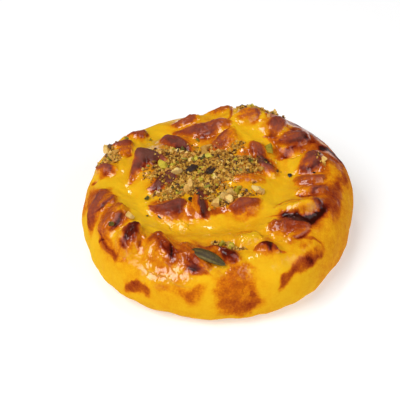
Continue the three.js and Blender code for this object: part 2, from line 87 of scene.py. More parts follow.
# The ridges. Their shape: direction and reach of the middle, heading, length, width, height, bow,
# where the peak is along it (-1 to 1), the steep side (1 left, -1 right), and how round the crest
# is. Their looks: how brown, which flanks are browned too (0 none, 1 the steep one, -1 the gentle
# one, 2 both), and how dark the crease along the steep foot is: burnt wash with painted shade.
PINCHES = [
    # the ring along the rim
    (354, 26.2, 0, 9.6, 4.8, 2, -0.6, 0.3, -1, 1, 0.32, 2, 0.65),
    (4.5, 25.4, 356, 8.8, 4.8, 2.1, -0.7, 0.2, -1, 1, 0.5, 2, 0.65),
    (18.5, 26.6, 78, 8, 9.4, 3.3, -0.3, 0.1, -1, 0.8, 0.68, 0, 0.5),
    (40, 26.5, 12, 9, 7.2, 3.1, -0.6, 0.2, -1, 1, 0.64, 0, 0.7),
    (53, 26.8, 73, 7.5, 6.4, 2.8, -0.2, 0.2, 1, 1, 0.62, 0, 0.4),
    (71, 28.2, 1, 8, 6, 2, -0.7, 0.2, 1, 0.7, 0.52, 0, 0.1),
    (89, 32.5, 358, 10, 6, 1.4, -1.7, 0.2, 1, 0.6, 0.55, 0, 0.1),
    (107, 30.6, 20, 12, 4.6, 2.3, -1, 0.2, 1, 0.4, 0.64, 0, 0.1),
    (133, 31.6, 14, 6.5, 4.6, 2.5, -1.8, 0.2, -1, 0.6, 0.7, 1, 0.4),
    (146, 31.1, 18, 7, 4.6, 2.3, -1.2, 0, -1, 0.5, 0.78, 2, 0.5),
    (150, 29.8, 11, 6, 4.4, 1.7, -0.8, 0.3, -1, 0.9, 0.45, 0, 0.5),
    (166, 32.4, 349, 7, 4.8, 1.9, -0.5, 0, -1, 0.6, 0.6, 0, 0.4),
    (193, 34.4, 67, 14, 7.6, 2.2, 0.3, 0.1, 1, 0.4, 0.5, 2, 0.2),
    (195, 31.6, 48, 9, 5.6, 2.3, -1, 0.2, -1, 0.4, 0.46, 2, 0.6),
    (206, 31.3, 60, 11, 7.2, 2.9, -1.2, 0.2, -1, 0.6, 0.5, 2, 0.8),
    (225, 30.8, 90, 9.5, 6.2, 4, 0, 0.5, -1, 1, 0.92, 0, 0.3),
    (243, 28.9, 124, 13.6, 7.4, 3.3, 0.7, 0.55, -1, 1, 0.68, 0, 0.7),
    (258, 30.2, 137, 12, 7.2, 3, 1, 0.5, 1, 0.7, 0.38, 2, 0.4),
    (272, 28.1, 153, 9.6, 5.4, 3.2, 0.5, -0.1, 1, 0.5, 0.76, 2, 0.5),
    (296, 28.8, 359, 7, 5.4, 3, 0.9, 0, -1, 0, 0.6, 1, 0.5),
    (291, 24.2, 22, 7.4, 5.6, 2.3, 0.8, 0, -1, 1, 0, 1, 0),
    (319, 25.8, 360, 12, 7.2, 2.7, -0.6, 0.1, -1, 0.6, 0.52, 2, 0.6),
    (335.5, 25.2, 14, 14.6, 6.4, 3.7, -3, 0.3, -1, 0.7, 0.2, 1, 0.5),
    (216, 36.3, 301, 11.2, 2.6, 1.2, -0.9, 0, -1, 0.6, 0.42, 1, 0.3),
    (210, 28.2, 350, 3.9, 3, 1.1, 0, 0, 1, 1, 0, 0, 0),
    # the rosette
    (164, 23.4, 66, 13, 6, 3.2, -0.6, 0.5, 1, 0.2, 0.52, -1, 0.1),
    (152, 20.4, 332, 10.5, 8, 4.3, -1.6, -0.3, 1, 0.2, 0.9, -1, 0.1),
    (181, 15.3, 38, 10.5, 6.2, 2.9, -1, 0.5, 1, 0.4, 0.9, -1, 0.5),
    (213, 16.2, 2, 11.4, 6.2, 3.1, -1.7, 0.55, 1, 0.1, 0.82, -1, 0.8),
    (245, 10, 104, 10, 5.2, 3.3, 1.3, 0.5, 1, 0.3, 0.88, 2, 0.7),
    (314, 10.8, 24, 11, 5.4, 2.5, 0.2, -0.3, 1, 0.3, 0.66, -1, 0.3),
    (9, 8.2, 9, 11.6, 4.6, 1.9, -0.3, 0, -1, 0.8, 0.27, 2, 0.1),
    (50, 16.4, 100, 6, 6.4, 2.5, 0, 0.2, 1, 1, 0.52, 0, 0.2),
    (31, 15.6, 303, 9.5, 5.6, 1.9, -0.5, 0.2, 1, 0.6, 0.5, 0, 0.5),
    (85, 16.3, 49, 12, 8.4, 2.7, -0.7, 0.2, 1, 0.2, 0.36, -1, 0.4),
    (99, 23.9, 355, 18, 9, 3.3, -1.2, 0.4, 1, 0.3, 0.6, -1, 0.4),
    (229, 18.3, 323, 14, 4.6, 1, 0, 0, -1, 1, 0, 0, 0),
    (120, 20.8, 316, 13, 8.4, 3.5, 0.6, -0.1, 1, 0.2, 0.82, -1, 0.6),
]
# The steep side's share of a ridge's width, and how sharply each side's edge turns down.
STEEP_SHARE = 0.36
STEEP_EDGE = 0.9
GENTLE_EDGE = 1.5
# The print of the tongs beside a ridge: shares of its height and width, and how far from its foot.
PRINT_DEPTH = 0.28
PRINT_WIDTH = 0.3
PRINT_OFF = 0.8
# The higher this is, the less overlapping ridges add up.
MERGE_POWER = 5
# A ridge stands on a low mound of this share of its height and of its width.
MOUND_HEIGHT = 0.5
MOUND_WIDTH = 0.9
# A bowed line crosses its chord where the square of its place is BOW_CROSSING. It bends no further
# past BOW_END.
BOW_CROSSING = 0.4
BOW_END = 1.2
# Slim ridges taper more: the length for each width at which it starts, and the least and most of it.
TAPER_FROM = 1.4
TAPER_RANGE = (0.5, 1.3)
# Each of these for a keen ridge and for a full roll: the share of its width that is left at its
# ends, how evenly it narrows to them, and how long its steep and its gentle flank keep up.
END_WIDTH = (0.1, 0.5)
NARROWING = (0.75, 0.4)
STEEP_CURVE = (1.6, 2.6)
GENTLE_CURVE = (1.25, 2.1)
# Thumbed-in creases: direction and reach of the middle, heading, length, width, depth, bow, and
# how dark they are: egg wash burnt in them, deepened with painted shade.
CREASES = [
    (323, 22, 347, 8.7, 0.4, 0.3, 0.3, 0.5), (293, 22, 8, 6.5, 0.5, 0.3, 0.4, 0.55),
    (331, 28.4, 28, 14.5, 4, 1, -3.2, 1), (13, 26.1, 26, 6, 1.9, 0.6, -0.9, 0.85),
    (354, 26.6, 34, 9.5, 1.9, 0.5, -1.9, 0.8), (343, 27, 20, 6.4, 1.3, 0.5, -1, 0.8),
    (31, 24, 6, 6.9, 1.5, 0.5, -1.8, 0.85), (318, 30.5, 35, 6.1, 1.4, 0.5, -0.7, 0.8),
    (301, 30.9, 2, 3.3, 0.7, 0.3, -0.1, 0.6), (247, 30.4, 279, 5.8, 1.2, 0.6, -0.1, 0.95),
    (260, 33.1, 344, 6.4, 1, 0.5, -0.5, 0.85), (224, 33.4, 292, 3.9, 1.3, 0.5, 0, 0.8),
    (230, 30.8, 261, 3.3, 0.7, 0.5, 0.3, 0.7), (210, 30.7, 244, 5.8, 1.3, 0.6, 0.4, 0.9),
    (196, 31.7, 227, 6.7, 0.9, 0.5, 1.2, 0.85), (215, 36.1, 301, 12.2, 0.6, 0.3, -0.4, 0.55),
    (84, 18.5, 222, 8.3, 1.3, 0.4, 1.7, 0.7), (65, 28.4, 280, 3.9, 1, 0.4, 0.7, 0.6),
    (81, 29.4, 265, 7.8, 0.9, 0.4, 0.6, 0.6), (50, 23.3, 357, 4.4, 0.8, 0.3, 0.6, 0.6),
    (31, 16.5, 315, 5.3, 0.6, 0.4, -0.1, 0.6), (254, 12.6, 285, 3.1, 0.8, 0.3, -1.1, 0.6),
    (173, 35.7, 352, 3.3, 1.3, 0.3, 0, 0.7), (151, 27.9, 68, 3.6, 0.8, 0.3, -0.8, 0.5),
    (94, 20.8, 7, 5.2, 0.8, 0.2, 0.3, 0.5),
]
# The share of a crease's width that is left at its ends.
CREASE_END = 0.35
# Large, uneven numbers, so that draws look random.
DRAW_KEYS = (12.9898, 4.1414, 43758.5453)


def bell(x):
    return np.exp(-x * x)


def smoothstep(x, low, high):
    t = np.clip((x - low) / (high - low), 0, 1)
    return t * t * (3 - 2 * t)


def lerp(a, b, t):
    return a + (b - a) * t


def polar(degrees, reach):
    return reach * np.cos(np.radians(degrees)), reach * np.sin(np.radians(degrees))


def draw(n):
    """A draw from 0 to 1 that is always the same for the same n."""
    pace, start, spread = DRAW_KEYS
    return np.mod(np.sin(np.asarray(n) * pace + start) * spread, 1)


def swelling(angle, swells):
    total = np.zeros_like(angle)
    for direction, width, size in swells:
        off = np.mod(np.degrees(angle) - direction + 180, 360) - 180
        total += size * bell(off / width)
    return total


def outline(angle):
    wide = 1 + swelling(angle, SIDE_SWELLS)
    for count, size, direction in LOBES:
        wide += size * np.cos(count * (angle - math.radians(direction)))
    return wide


def lumps(x, y):
    broad = np.sin(0.19 * x + 0.11 * y + 1) * np.sin(0.16 * y - 0.07 * x + 2)
    small = np.sin(0.37 * x - 0.29 * y + 4) * np.sin(0.41 * y + 0.23 * x)
    return BROAD_LUMPS * broad + SMALL_LUMPS * small


def top_relief(x, y, reach):
    from_heart = np.hypot(x - HEART[0], y - HEART[1])
    heart = HEART_RISE * (1 - smoothstep(from_heart, HEART_EDGE - HEART_SLOPE, HEART_EDGE))
    moat = MOAT_DEPTH * bell((from_heart - MOAT_RADIUS) / MOAT_WIDTH)
    return heart - moat * (1 - bell((SHOULDER - reach) / RIM_ROLL))


def cake(x, y):
    """The plain cake, without pinches: the places in space of points (x, y) of the disc."""
    reach = np.minimum(np.hypot(x, y), REACH)
    angle = np.arctan2(y, x)
    rim = RIM_HEIGHT + swelling(angle, RIM_SWELLS) * bell((reach - SHOULDER) / RIM_SWELL_RUN)
    wide = lerp(1, outline(angle), np.minimum(reach / SHOULDER, 1))
    turn = np.pi / 2 * (1 - 2 * np.clip(reach - SHOULDER, 0, WALL) / WALL)
    out = np.maximum(np.cos(turn), 0) ** (2 / WALL_POWER)
    up = np.abs(np.sin(turn)) ** (2 / WALL_POWER)
    inner = np.where(turn > 0, SHOULDER, FOOT * (1 + swelling(angle, FOOT_SWELLS)))
    on_top = reach <= SHOULDER
    radius = np.where(on_top, reach, lerp(inner, RADIUS, out))
    wall = np.where(turn > 0, lerp(WAIST_HEIGHT, rim, up), WAIST_HEIGHT * (1 - up))
    height = np.where(on_top, rim + top_relief(x, y, reach), wall)
    return np.stack([radius * wide * np.cos(angle), radius * wide * np.sin(angle), height], -1)


def normal(x, y, step=0.2):
    across = cake(x + step, y) - cake(x - step, y)
    along = cake(x, y + step) - cake(x, y - step)
    square = np.cross(across, along)
    return square / np.linalg.norm(square, axis=-1, keepdims=True)


class Stroke:
    """A bowed line on the disc that a ridge, a crease or a stain follows."""

    def __init__(self, direction, reach, heading, length, bow):
        self.x, self.y = polar(direction, reach)
        self.ux, self.uy = polar(heading, 1)
        self.half, self.bow = length / 2, bow

    def local(self, x, y):
        """How far along the line (-1 ... 1 within it), and how far left of it in millimetres."""
        along = ((x - self.x) * self.ux + (y - self.y) * self.uy) / self.half
        aside = (y - self.y) * self.ux - (x - self.x) * self.uy
        return along, aside - self.bow * (BOW_CROSSING - np.clip(along, -BOW_END, BOW_END) ** 2)


class Pinch(Stroke):
    """One ridge that the tongs pinched up."""

    def __init__(self, direction, reach, heading, length, width, height, bow, peak, side, *looks):
        super().__init__(direction, reach, heading, length, bow)
        self.width, self.height, self.peak, self.side = width, height, peak, side
        self.round, self.brown, self.faces, self.dark = looks
        self.taper = np.clip(length / width - TAPER_FROM, *TAPER_RANGE)

    def from_peak(self, along):
        return (along - self.peak) / np.where(along < self.peak, 1 + self.peak, 1 - self.peak)

    def flank(self, along, is_steep):
        """How far the ridge's foot is from its line, on its steep or its gentle side."""
        share = np.where(is_steep, STEEP_SHARE, 1 - STEEP_SHARE)
        full = np.maximum(1 - self.from_peak(along) ** 2, 0)
        end = lerp(*END_WIDTH, self.round)
        return self.width * share * lerp(end, 1, full ** lerp(*NARROWING, self.round))

    def at(self, x, y):
        """How high the ridge and its mound stand at (x, y), and how deep the tongs' print is."""
        along, left = self.local(x, y)
        inside = np.abs(along) < 1
        mound = MOUND_HEIGHT * self.height * bell(along) * bell(left / (MOUND_WIDTH * self.width))
        along = np.clip(along, -1, 1)
        is_steep = left * self.side > 0
        run = self.flank(along, is_steep)
        v = np.minimum(np.abs(left) / run, 1)
        crest = self.height * np.maximum(1 - self.from_peak(along) ** 2, 0) ** self.taper
        steep = (1 - v ** lerp(*STEEP_CURVE, self.round)) ** STEEP_EDGE
        gentle = (1 - v ** lerp(*GENTLE_CURVE, self.round)) ** GENTLE_EDGE
        high = np.where(inside, crest * np.where(is_steep, steep, gentle), 0)
        from_foot = (np.abs(left) - run) / (PRINT_WIDTH * self.width)
        print_ = PRINT_DEPTH * self.height * (1 - along**2) * bell(from_foot - PRINT_OFF)
        return high, mound, np.where(inside, print_, 0)


class Crease(Stroke):
    def __init__(self, direction, reach, heading, length, width, depth, bow, dark):
        super().__init__(direction, reach, heading, length, bow)
        self.width, self.depth, self.dark = width, depth, dark

    def at(self, x, y):
        """How much of the crease is at (x, y), from 0 to 1."""
        along, left = self.local(x, y)
        narrowing = np.maximum(1 - along**2, 0)
        half = 0.5 * self.width * lerp(CREASE_END, 1, narrowing)
        return np.sqrt(narrowing) * bell(left / half)


pinches = [Pinch(*row) for row in PINCHES]
creases = [Crease(*row) for row in CREASES]


def from_heap(x, y):
    """How far (x, y) is from the middle of the heap of crumbs, 1 at its edge."""
    return np.hypot((x - HEAP["x"]) / HEAP["long"], (y - HEAP["y"]) / HEAP["wide"])


def relief(x, y):
    """What the tongs, the fine crumb and the dough's own lumps add, square to the plain cake."""
    ridge = np.zeros_like(x)
    print_ = np.zeros_like(x)
    for pinch in pinches:
        up, mound, down = pinch.at(x, y)
        ridge += up**MERGE_POWER + mound**MERGE_POWER
        print_ = np.maximum(print_, down)
    high = ridge ** (1 / MERGE_POWER)
    groove = np.zeros_like(x)
    for crease in creases:
        groove = np.maximum(groove, crease.depth * crease.at(x, y))
    heap = HEAP["thick"] * bell(from_heap(x, y) ** 2)
    return high - print_ * np.exp(-high) - groove + heap + lumps(x, y)


def foot_fade(x, y):
    """How much of the relief is left at (x, y): none at the edge of the foot."""
    return smoothstep(REACH - np.hypot(x, y), 0, FOOT_FADE)


def lifted(x, y, lift):
    """The places over (x, y) of the plain cake, raised square to it by `lift` millimetres."""
    place = cake(x, y) + normal(x, y) * lift[..., None]
    place[..., 2] = np.maximum(place[..., 2], 0)
    return place


# ---- the sheet of dough ----
RINGS = 178
FINE_RINGS = 150
FINE_REACH = 41.0


def disc_mesh():
    """Rings of 6, 12, 18 ... points, close together on the top and wider apart down the wall."""
    ring = np.arange(1, RINGS + 1)
    wall_step = (REACH - FINE_REACH) / (RINGS - FINE_RINGS)
    fine = FINE_REACH * ring / FINE_RINGS
    coarse = FINE_REACH + wall_step * (ring - FINE_RINGS)
    points = [np.zeros((1, 2))]
    faces = []
    first = [0]
    for k, reach in zip(ring, np.where(ring <= FINE_RINGS, fine, coarse)):
        inner_count = max(6 * (k - 1), 1)
        first.append(first[-1] + inner_count)
        turn = 2 * np.pi * np.arange(6 * k) / (6 * k)
        points.append(np.stack([reach * np.cos(turn), reach * np.sin(turn)], -1))
        sector, i = np.divmod(np.arange(6 * k), k)
        out, into = sector * k + i, sector * (k - 1) + i
        outer, next_outer = (first[k] + j % (6 * k) for j in (out, out + 1))
        inner, next_inner = (first[k - 1] + j % inner_count for j in (into, into + 1))
        faces.append(np.stack([outer, next_outer, inner], -1))
        faces.append(np.stack([next_outer, next_inner, inner], -1)[i < k - 1])
    return np.concatenate(points), np.concatenate(faces)


# ---- noise, for the skin's own unevenness ----
# Where noise starts, and what a step in x, in y and in the seed adds to a cell's number.
NOISE_FROM = (71.3, 37.7)
CELL_KEYS = (1.618, 7.313, 3.77)
# How far apart the seeds are of a pair of noises, and of the sizes in a cloud.
PAIR_SEED = 5
OCTAVE_SEED = 11


def value_noise(x, y, size, seed=0):
    """Smooth noise from 0 to 1 whose bumps are about `size` apart."""
    u, v = x / size + NOISE_FROM[0], y / size + NOISE_FROM[1]
    i, j = np.floor(u), np.floor(v)
    s, t = smoothstep(u - i, 0, 1), smoothstep(v - j, 0, 1)

    def corner(a, b):
        return draw(a * CELL_KEYS[0] + b * CELL_KEYS[1] + seed * CELL_KEYS[2])

    near = lerp(corner(i, j), corner(i + 1, j), s)
    far = lerp(corner(i, j + 1), corner(i + 1, j + 1), s)
    return lerp(near, far, t)


def cloud(x, y, size, seed=0, octaves=3):
    """Several sizes of noise on top of each other, each half as large and half as strong."""
    total = np.zeros_like(x)
    weight = 0.0
    for k in range(octaves):
        share = 0.5**k
        turned_x = x * math.cos(k) - y * math.sin(k)
        turned_y = x * math.sin(k) + y * math.cos(k)
        total += share * value_noise(turned_x, turned_y, size * share, seed + OCTAVE_SEED * k)
        weight += share
    return total / weight


def creased(x, y, size, seed=0, octaves=2):
    """Noise with sharp crests, up to 1, like skin that has wrinkled."""
    return 1 - np.abs(2 * cloud(x, y, size, seed, octaves) - 1) * 2


def shaken(x, y, size, amount, seed=0):
    """Points moved a little this way and that, so that what is drawn over them is uneven."""
    aside = amount * 2 * (cloud(x, y, size, seed) - 0.5)
    along = amount * 2 * (cloud(x, y, size, seed + PAIR_SEED) - 0.5)
    return x + aside, y + along


# Blisters on the rounded shoulder are flat and face half-way up, with these as their steepness for
# each millimetre away from the shoulder's middle, the reach of that middle, and the steepest.
BEVEL = 0.06
BEVEL_REACH = 33.0
BEVEL_MOST = 0.4
# What tells plates apart: for the x and y of a plate's middle, and for its lean in x and in y.
PLATE_KEYS = ((3.1, 7.7), (5.3, 1.9), (2.3, 9.1), (8.7, 4.3))


def plates(x, y, size, tilt, seed=0, bevel=0.0):
    """A surface broken into plates about `size` wide, each tilted its own way, in millimetres."""
    u, v = x / size, y / size
    reach = np.hypot(x, y)
    nearest = np.full_like(x, np.inf)
    height = np.zeros_like(x)
    for i in (-1, 0, 1):
        for j in (-1, 0, 1):
            a, b = np.floor(u) + i, np.floor(v) + j
            at_u, at_v, lean_u, lean_v = (draw(a * p + b * q + seed) for p, q in PLATE_KEYS)
            off_u, off_v = u - a - at_u, v - b - at_v
            far = off_u**2 + off_v**2
            slope = 2 * tilt * size * ((lean_u - 0.5) * off_u + (lean_v - 0.5) * off_v)
            outward = size * (x * off_u + y * off_v) / np.maximum(reach, 1)
            lean_out = bevel * (reach - outward - BEVEL_REACH)
            slope += np.clip(lean_out, -BEVEL_MOST, BEVEL_MOST) * outward + bevel * outward**2
            height = np.where(far < nearest, slope, height)
            nearest = np.minimum(nearest, far)
    return height


# ---- how brown the oven made it ----
# Spots and streaks: [direction and reach of the middle, heading, length, width, bow], then how
# brown (0.3 is orange, 0.6 is brown and 1 is nearly black) and how soft the edge is.
STAINS = [
    (236, 41.3, 337, 8, 3.4, 1, 0.62, 0.25), (248, 39.5, 335, 5.6, 1.6, -0.1, 0.25, 0.6),
    (259, 39.3, 357, 7.8, 3.7, -1, 0.27, 0.6), (277.4, 39.4, 2, 10.8, 13.2, 0.4, 0.26, 0.2),
    (277.6, 39, 2, 11.4, 14, 0.4, 0.15, 0.55), (284, 43.2, 30, 3, 1.2, 0.3, 0.36, 0.3),
    (283.6, 40.6, 330, 1.8, 1, 0, 0.4, 0.3), (276.6, 37.6, 20, 4.6, 2, 0.4, 0.22, 0.4),
    (279, 43, 12, 10.4, 4.6, 0, 0.27, 0.55), (283, 33.2, 353, 5.8, 3, 0.2, 0.22, 0.6),
    (300, 37.7, 60, 7.5, 2.8, 0.4, 0.56, 0.45), (308, 36.8, 38, 9, 3.4, 0.8, 0.56, 0.45),
    (317, 37, 40, 9.6, 3, -0.4, 0.5, 0.5), (320, 33, 6, 7.1, 1.1, 0.5, 0.4, 0.5),
    (215, 36.6, 288, 8.2, 4.4, -0.2, 0.3, 0.5), (224, 37, 317, 6.9, 2.4, -0.8, 0.52, 0.5),
    (212, 36.6, 331, 3.5, 0.9, -0.1, 0.7, 0.4), (190, 35.8, 267, 14.9, 5.5, 1.5, 0.46, 0.4),
    (181, 38.9, 272, 14.1, 4.2, -0.7, 0.22, 0.5), (347, 32.6, 282, 11.2, 6.1, 1.1, 0.46, 0.4),
    (352, 33, 275, 10, 5, 0, 0.3, 0.6), (14, 34.5, 300, 9, 4, 0, 0.3, 0.7),
    (4, 33.5, 60, 9.6, 5, 0.8, 0.42, 0.7), (25, 32.6, 318, 15, 8, 0.3, 0.42, 0.6),
    (18, 28.3, 293, 14.4, 2.4, 0.5, 0.3, 0.5), (28, 32.7, 334, 14.5, 2.6, 0.6, 0.6, 0.5),
    (50, 30.4, 307, 14, 3.5, 1.7, 0.55, 0.5), (57, 29.3, 299, 8.6, 2.8, -0.6, 0.45, 0.4),
    (318, 26.3, 347, 8.6, 4.2, -0.3, 0.4, 0.4), (313, 31.2, 347, 7.4, 2.7, -1.7, 0.25, 0.6),
    (295, 28.6, 357, 3.2, 1, 0.4, 0.55, 0.3), (258, 30.8, 330, 7.8, 4.3, -0.6, 0.2, 0.5),
    (243, 30.9, 318, 4.1, 1.7, 0.2, 0.3, 0.5), (206, 32, 329, 3.2, 2.6, -2.1, 0.35, 0.5),
    (187, 31.9, 357, 4.3, 5.7, -2.7, 0.4, 0.4), (157, 19.4, 346, 6.4, 4.2, -0.5, 0.75, 0.4),
    (167, 22.9, 53, 6.3, 1.8, -0.3, 0.5, 0.4), (127, 16.6, 314, 5.5, 3.7, -0.5, 0.8, 0.4),
    (246, 10.6, 100, 5, 3.6, 0, 0.8, 0.4), (121, 20.1, 316, 9, 2, 0.1, 0.6, 0.4),
    (101, 23.2, 346, 14.2, 1.7, -1.4, 0.45, 0.4), (97, 19.4, 355, 5.5, 2.9, -0.4, 0.35, 0.5),
    (83, 16, 39, 6.5, 3.8, -0.7, 0.4, 0.5), (35, 15.5, 325, 5.5, 1.7, -0.4, 0.5, 0.4),
    (41, 13, 344, 5, 2.9, 0, 0.3, 0.5), (20, 11.7, 10, 5.6, 2.3, 1.5, 0.45, 0.5),
    # The second row on the next line darkens the dough under the heap of crumbs: browner dough, and
    # painted shade for the gaps between the crumbs.
    (40, 14.6, 318, 9, 6.5, 0, 0.45, 0.45), (128, 6, 4, 26, 16, 0, 0.25, 0.5),
    (19, 26.4, 346, 3.2, 2.5, -0.3, 0.55, 0.3), (13, 25.7, 356, 3.4, 1, -0.7, 0.4, 0.5),
    (359, 25.5, 353, 6.7, 2, -1.1, 0.38, 0.5), (341, 29.5, 41, 4.4, 1.6, -0.2, 0.4, 0.5),
    (327.5, 25.7, 2, 7.5, 1.8, 0, 0.85, 0.4), (336.8, 29.8, 42, 9, 3.2, 0, 0.95, 0.4),
    # The second row on the next line darkens the crevice between two ridges nearly to black: painted
    # shade.
    (295.4, 28.9, 0, 3.4, 2.6, 0, 0.88, 0.35), (34, 15, 315, 3.4, 1.9, -0.3, 0.85, 0.35),
    (168.6, 31.2, 60, 4, 4, 0, 0.5, 0.5), (272.8, 10.6, 20, 4.2, 2.8, 0, 0.6, 0.4),
    (164.5, 21.2, 350, 4.4, 2.8, 0, 0.85, 0.4), (31, 25.2, 330, 4.5, 3, 0, 0.55, 0.4),
    (40.9, 21.8, 330, 3.5, 2.5, 0, 0.42, 0.4), (47.7, 23.1, 330, 3.5, 2.5, 0, 0.4, 0.4),
    (261.8, 33.5, 336, 7, 1.6, 0, 0.5, 0.4), (249.4, 32.4, 336, 3.5, 2.2, 0, 0.4, 0.4),
    (64.2, 26.3, 0, 4, 2.4, 0, 0.32, 0.5), (33.1, 24.2, 330, 4, 3, 0, 0.4, 0.4),
    (239.6, 14.2, 20, 4, 2.4, 0, 0.3, 0.5), (348.8, 26, 0, 6, 2, 0, 0.6, 0.4),
    (259.4, 31.8, 340, 4, 2.6, 0, 0.45, 0.4), (304, 12.2, 20, 9, 5, 0, 0.3, 0.7),
    (184, 14.6, 38, 9, 3, -0.6, 0.5, 0.4), (226.5, 15.4, 10, 5, 3.4, 0, 0.4, 0.6),
    (326.9, 25.5, 354, 9.5, 2.6, 0, 0.85, 0.4), (330.4, 27.6, 12, 6, 2.4, 0.3, 0.9, 0.4),
    (337, 20.9, 12, 8, 0.8, 0, 0.5, 0.5), (37, 26.4, 356, 4.5, 2, -0.7, 0.45, 0.4),
    (53, 26.6, 319, 4.3, 1.9, -0.6, 0.5, 0.4), (272, 29.2, 342, 6.1, 2, -0.5, 0.6, 0.3),
    (277, 30.6, 19, 5, 0.7, -0.5, 0.3, 0.5), (264, 28, 309, 7.2, 2.2, 0.4, 0.45, 0.5),
    (271, 28.2, 342, 11, 7.1, -2, 0.1, 0.7), (248, 34.1, 338, 11, 6.7, -0.8, 0.12, 0.7),
    (275, 22, 0, 44, 14, 3, 0.1, 0.9), (0, 27, 95, 34, 16, 0, 0.1, 0.9),
    (44, 34.5, 312, 16, 7, 1.5, 0.55, 0.6), (33.5, 23.6, 12, 8, 2.2, 0, 0.5, 0.4),
    # Of the rows from here on, the broad faint ones that reach 45 to 47 make the wall a little darker
    # and more orange all round, most on the right.
    (350, 45, 82, 56, 24, 0, 0.2, 0.9), (262, 47, 352, 64, 22, 0, 0.07, 0.9),
    (222, 46, 312, 50, 24, 0, 0.04, 0.9), (310, 45, 40, 46, 24, 0, 0.05, 0.9),
    (90, 47, 0, 70, 26, 0, 0.09, 0.9), (150, 47, 60, 60, 24, 0, 0.07, 0.9),
    (35, 47, 305, 56, 26, 0, 0.08, 0.9), (108, 42, 24, 16, 5, 1.4, 0.34, 0.6),
    (70, 41.5, 330, 13, 7, -1.6, 0.4, 0.6), (138, 42, 56, 13, 3.4, 1.2, 0.36, 0.6),
    (86, 46.5, 0, 9, 3, 0.8, 0.26, 0.6), (240, 36, 330, 22, 9, 0, 0.08, 0.9),
]


class Stain(Stroke):
    def __init__(self, direction, reach, heading, length, width, bow, brown, softness):
        super().__init__(direction, reach, heading, length, bow)
        self.wide, self.brown, self.softness = width / 2, brown, softness

    def at(self, x, y):
        along, left = self.local(x, y)
        far = np.hypot(along, left / self.wide)
        return self.brown * (1 - smoothstep(far, 1 - self.softness, 1 + self.softness))


# Where the wash stayed thin and the dough yellow: rows like those above, with the share of the
# browning that is missing in place of how brown.
WIPED = [
    (23.5, 23.2, 78, 8.5, 5.4, 0, 0.88, 0.35), (332.6, 25.3, 4, 11, 2, -1.4, 0.8, 0.4),
    (236.6, 10.9, 104, 6, 1.8, 0, 0.6, 0.4), (204.7, 28.1, 20, 3.6, 2.4, 0, 0.5, 0.5),
    (352, 23.6, 0, 4.5, 2.4, 0, 0.5, 0.5), (293, 24.6, 15, 6, 4, 0, 0.7, 0.4),
    # This row lightens the colour along the glint on a ridge's flank, partly a painted highlight, so
    # that the wash there also shines fully.
    (269.5, 29, 322, 5, 1.6, 0, 0.45, 0.4),
]
stains = [Stain(*row) for row in STAINS]
wiped = [Stain(*row) for row in WIPED]
# Between which shares of a ridge's height the browning comes in: of its crest, a browned flank and
# any other flank, the noise in them, and the full brown of a browned flank.
CREST_EDGE = (0.4, 0.9)
FACE_EDGE = (0.02, 0.35)
FLANK_EDGE = (0.1, 0.75)
NOISE_EDGE = (0, 0.4)
FACE_RISE = (0.2, 0.85)
# How brown, beside the crest: the foot of a browned flank, any other flank of a ridge with and
# without a browned one, and the dough around. Then the dark foot, burnt wash with painted shade in
# the crease, and how far the halo goes.
FACE_FOOT = 0.68
FLANK_SHARE = 0.55
CAP_FLANK_SHARE = 0.32
HALO = 0.1
FOOT_WIDTH = 0.16
GENTLE_FOOT = 0.26
FOOT_LEFT = 0.6
HALO_LENGTH = 1.1
UNEVEN = 0.4
STAIN_UNEVEN = 0.7
STAIN_MOST = 1.3
# Stains with an edge this soft are mottled, and the others only uneven.
MOTTLED = (0.5, 0.8)
MOTTLE_GAIN = 3.2
MOTTLE_LOSS = 0.6
MOTTLE_MOST = 1.5
COMB_PITCH = 1.15
COMB_WANDER = 3.0
COMB_BROWN = 0.045
COMB_START = (0.2, 1.2)
# How high on each flank the mauve painted sheen and the dulling of the wash lie, and where they fade
# out in front.
SHEEN_STEEP = (0.6, 1.0)
SHEEN_GENTLE = (0.3, 0.8)
SHEEN_FRONT = (-22, -8)


def ridge_bake(pinch, x, y, uneven):
    """How brown one ridge is: its crest most, its sloping side less, and the crease at its foot, dark
    from burnt wash and painted shade.
    """
    along, left = pinch.local(x, y)
    up, _, _ = pinch.at(x, y)
    inside = np.maximum(1 - along**2, 0)
    high = up / pinch.height
    shown = high + uneven * smoothstep(high, *NOISE_EDGE)
    is_steep = left * pinch.side > 0
    crest = pinch.brown * smoothstep(shown, *CREST_EDGE)
    face = pinch.brown * smoothstep(shown, *FACE_EDGE)
    face = face * lerp(FACE_FOOT, 1, smoothstep(high, *FACE_RISE))
    is_browned = (pinch.faces == 2) | np.where(is_steep, pinch.faces == 1, pinch.faces == -1)
    crest = np.where(is_browned, face, crest)
    share = FLANK_SHARE if pinch.faces else CAP_FLANK_SHARE
    flank = share * pinch.brown * smoothstep(shown, *FLANK_EDGE)
    run = pinch.flank(np.clip(along, -1, 1), is_steep)
    off = (np.abs(left) - run) / (FOOT_WIDTH * pinch.width)
    # The dark foot along both flanks is burnt wash with painted shade in the crease.
    dark = np.where(is_steep, pinch.dark, GENTLE_FOOT)
    foot = dark * bell(off) * inside**0.7 * np.clip(FOOT_LEFT + uneven, 0, 1)
    halo = HALO * pinch.brown * bell(along / HALO_LENGTH) * bell(left / pinch.width)
    return np.maximum(np.maximum(crest, flank), foot) * (1 - halo) + halo


def tallest(x, y):
    """How high the tallest ridge stands at (x, y), and how far left of its line that is."""
    best = np.zeros_like(x)
    across = np.zeros_like(x)
    for pinch in pinches:
        up, _, _ = pinch.at(x, y)
        _, left = pinch.local(x, y)
        across = np.where(up > best, left, across)
        best = np.maximum(best, up)
    return best, across


def combed(x, y):
    """The fine parallel grooves that the toothed tongs left on the ridges, from -1 to 1."""
    best, across = tallest(x, y)
    wander = COMB_WANDER * cloud(x, y, 4.0, 51)
    return np.sin(2 * np.pi * across / COMB_PITCH + wander) * smoothstep(best, *COMB_START)


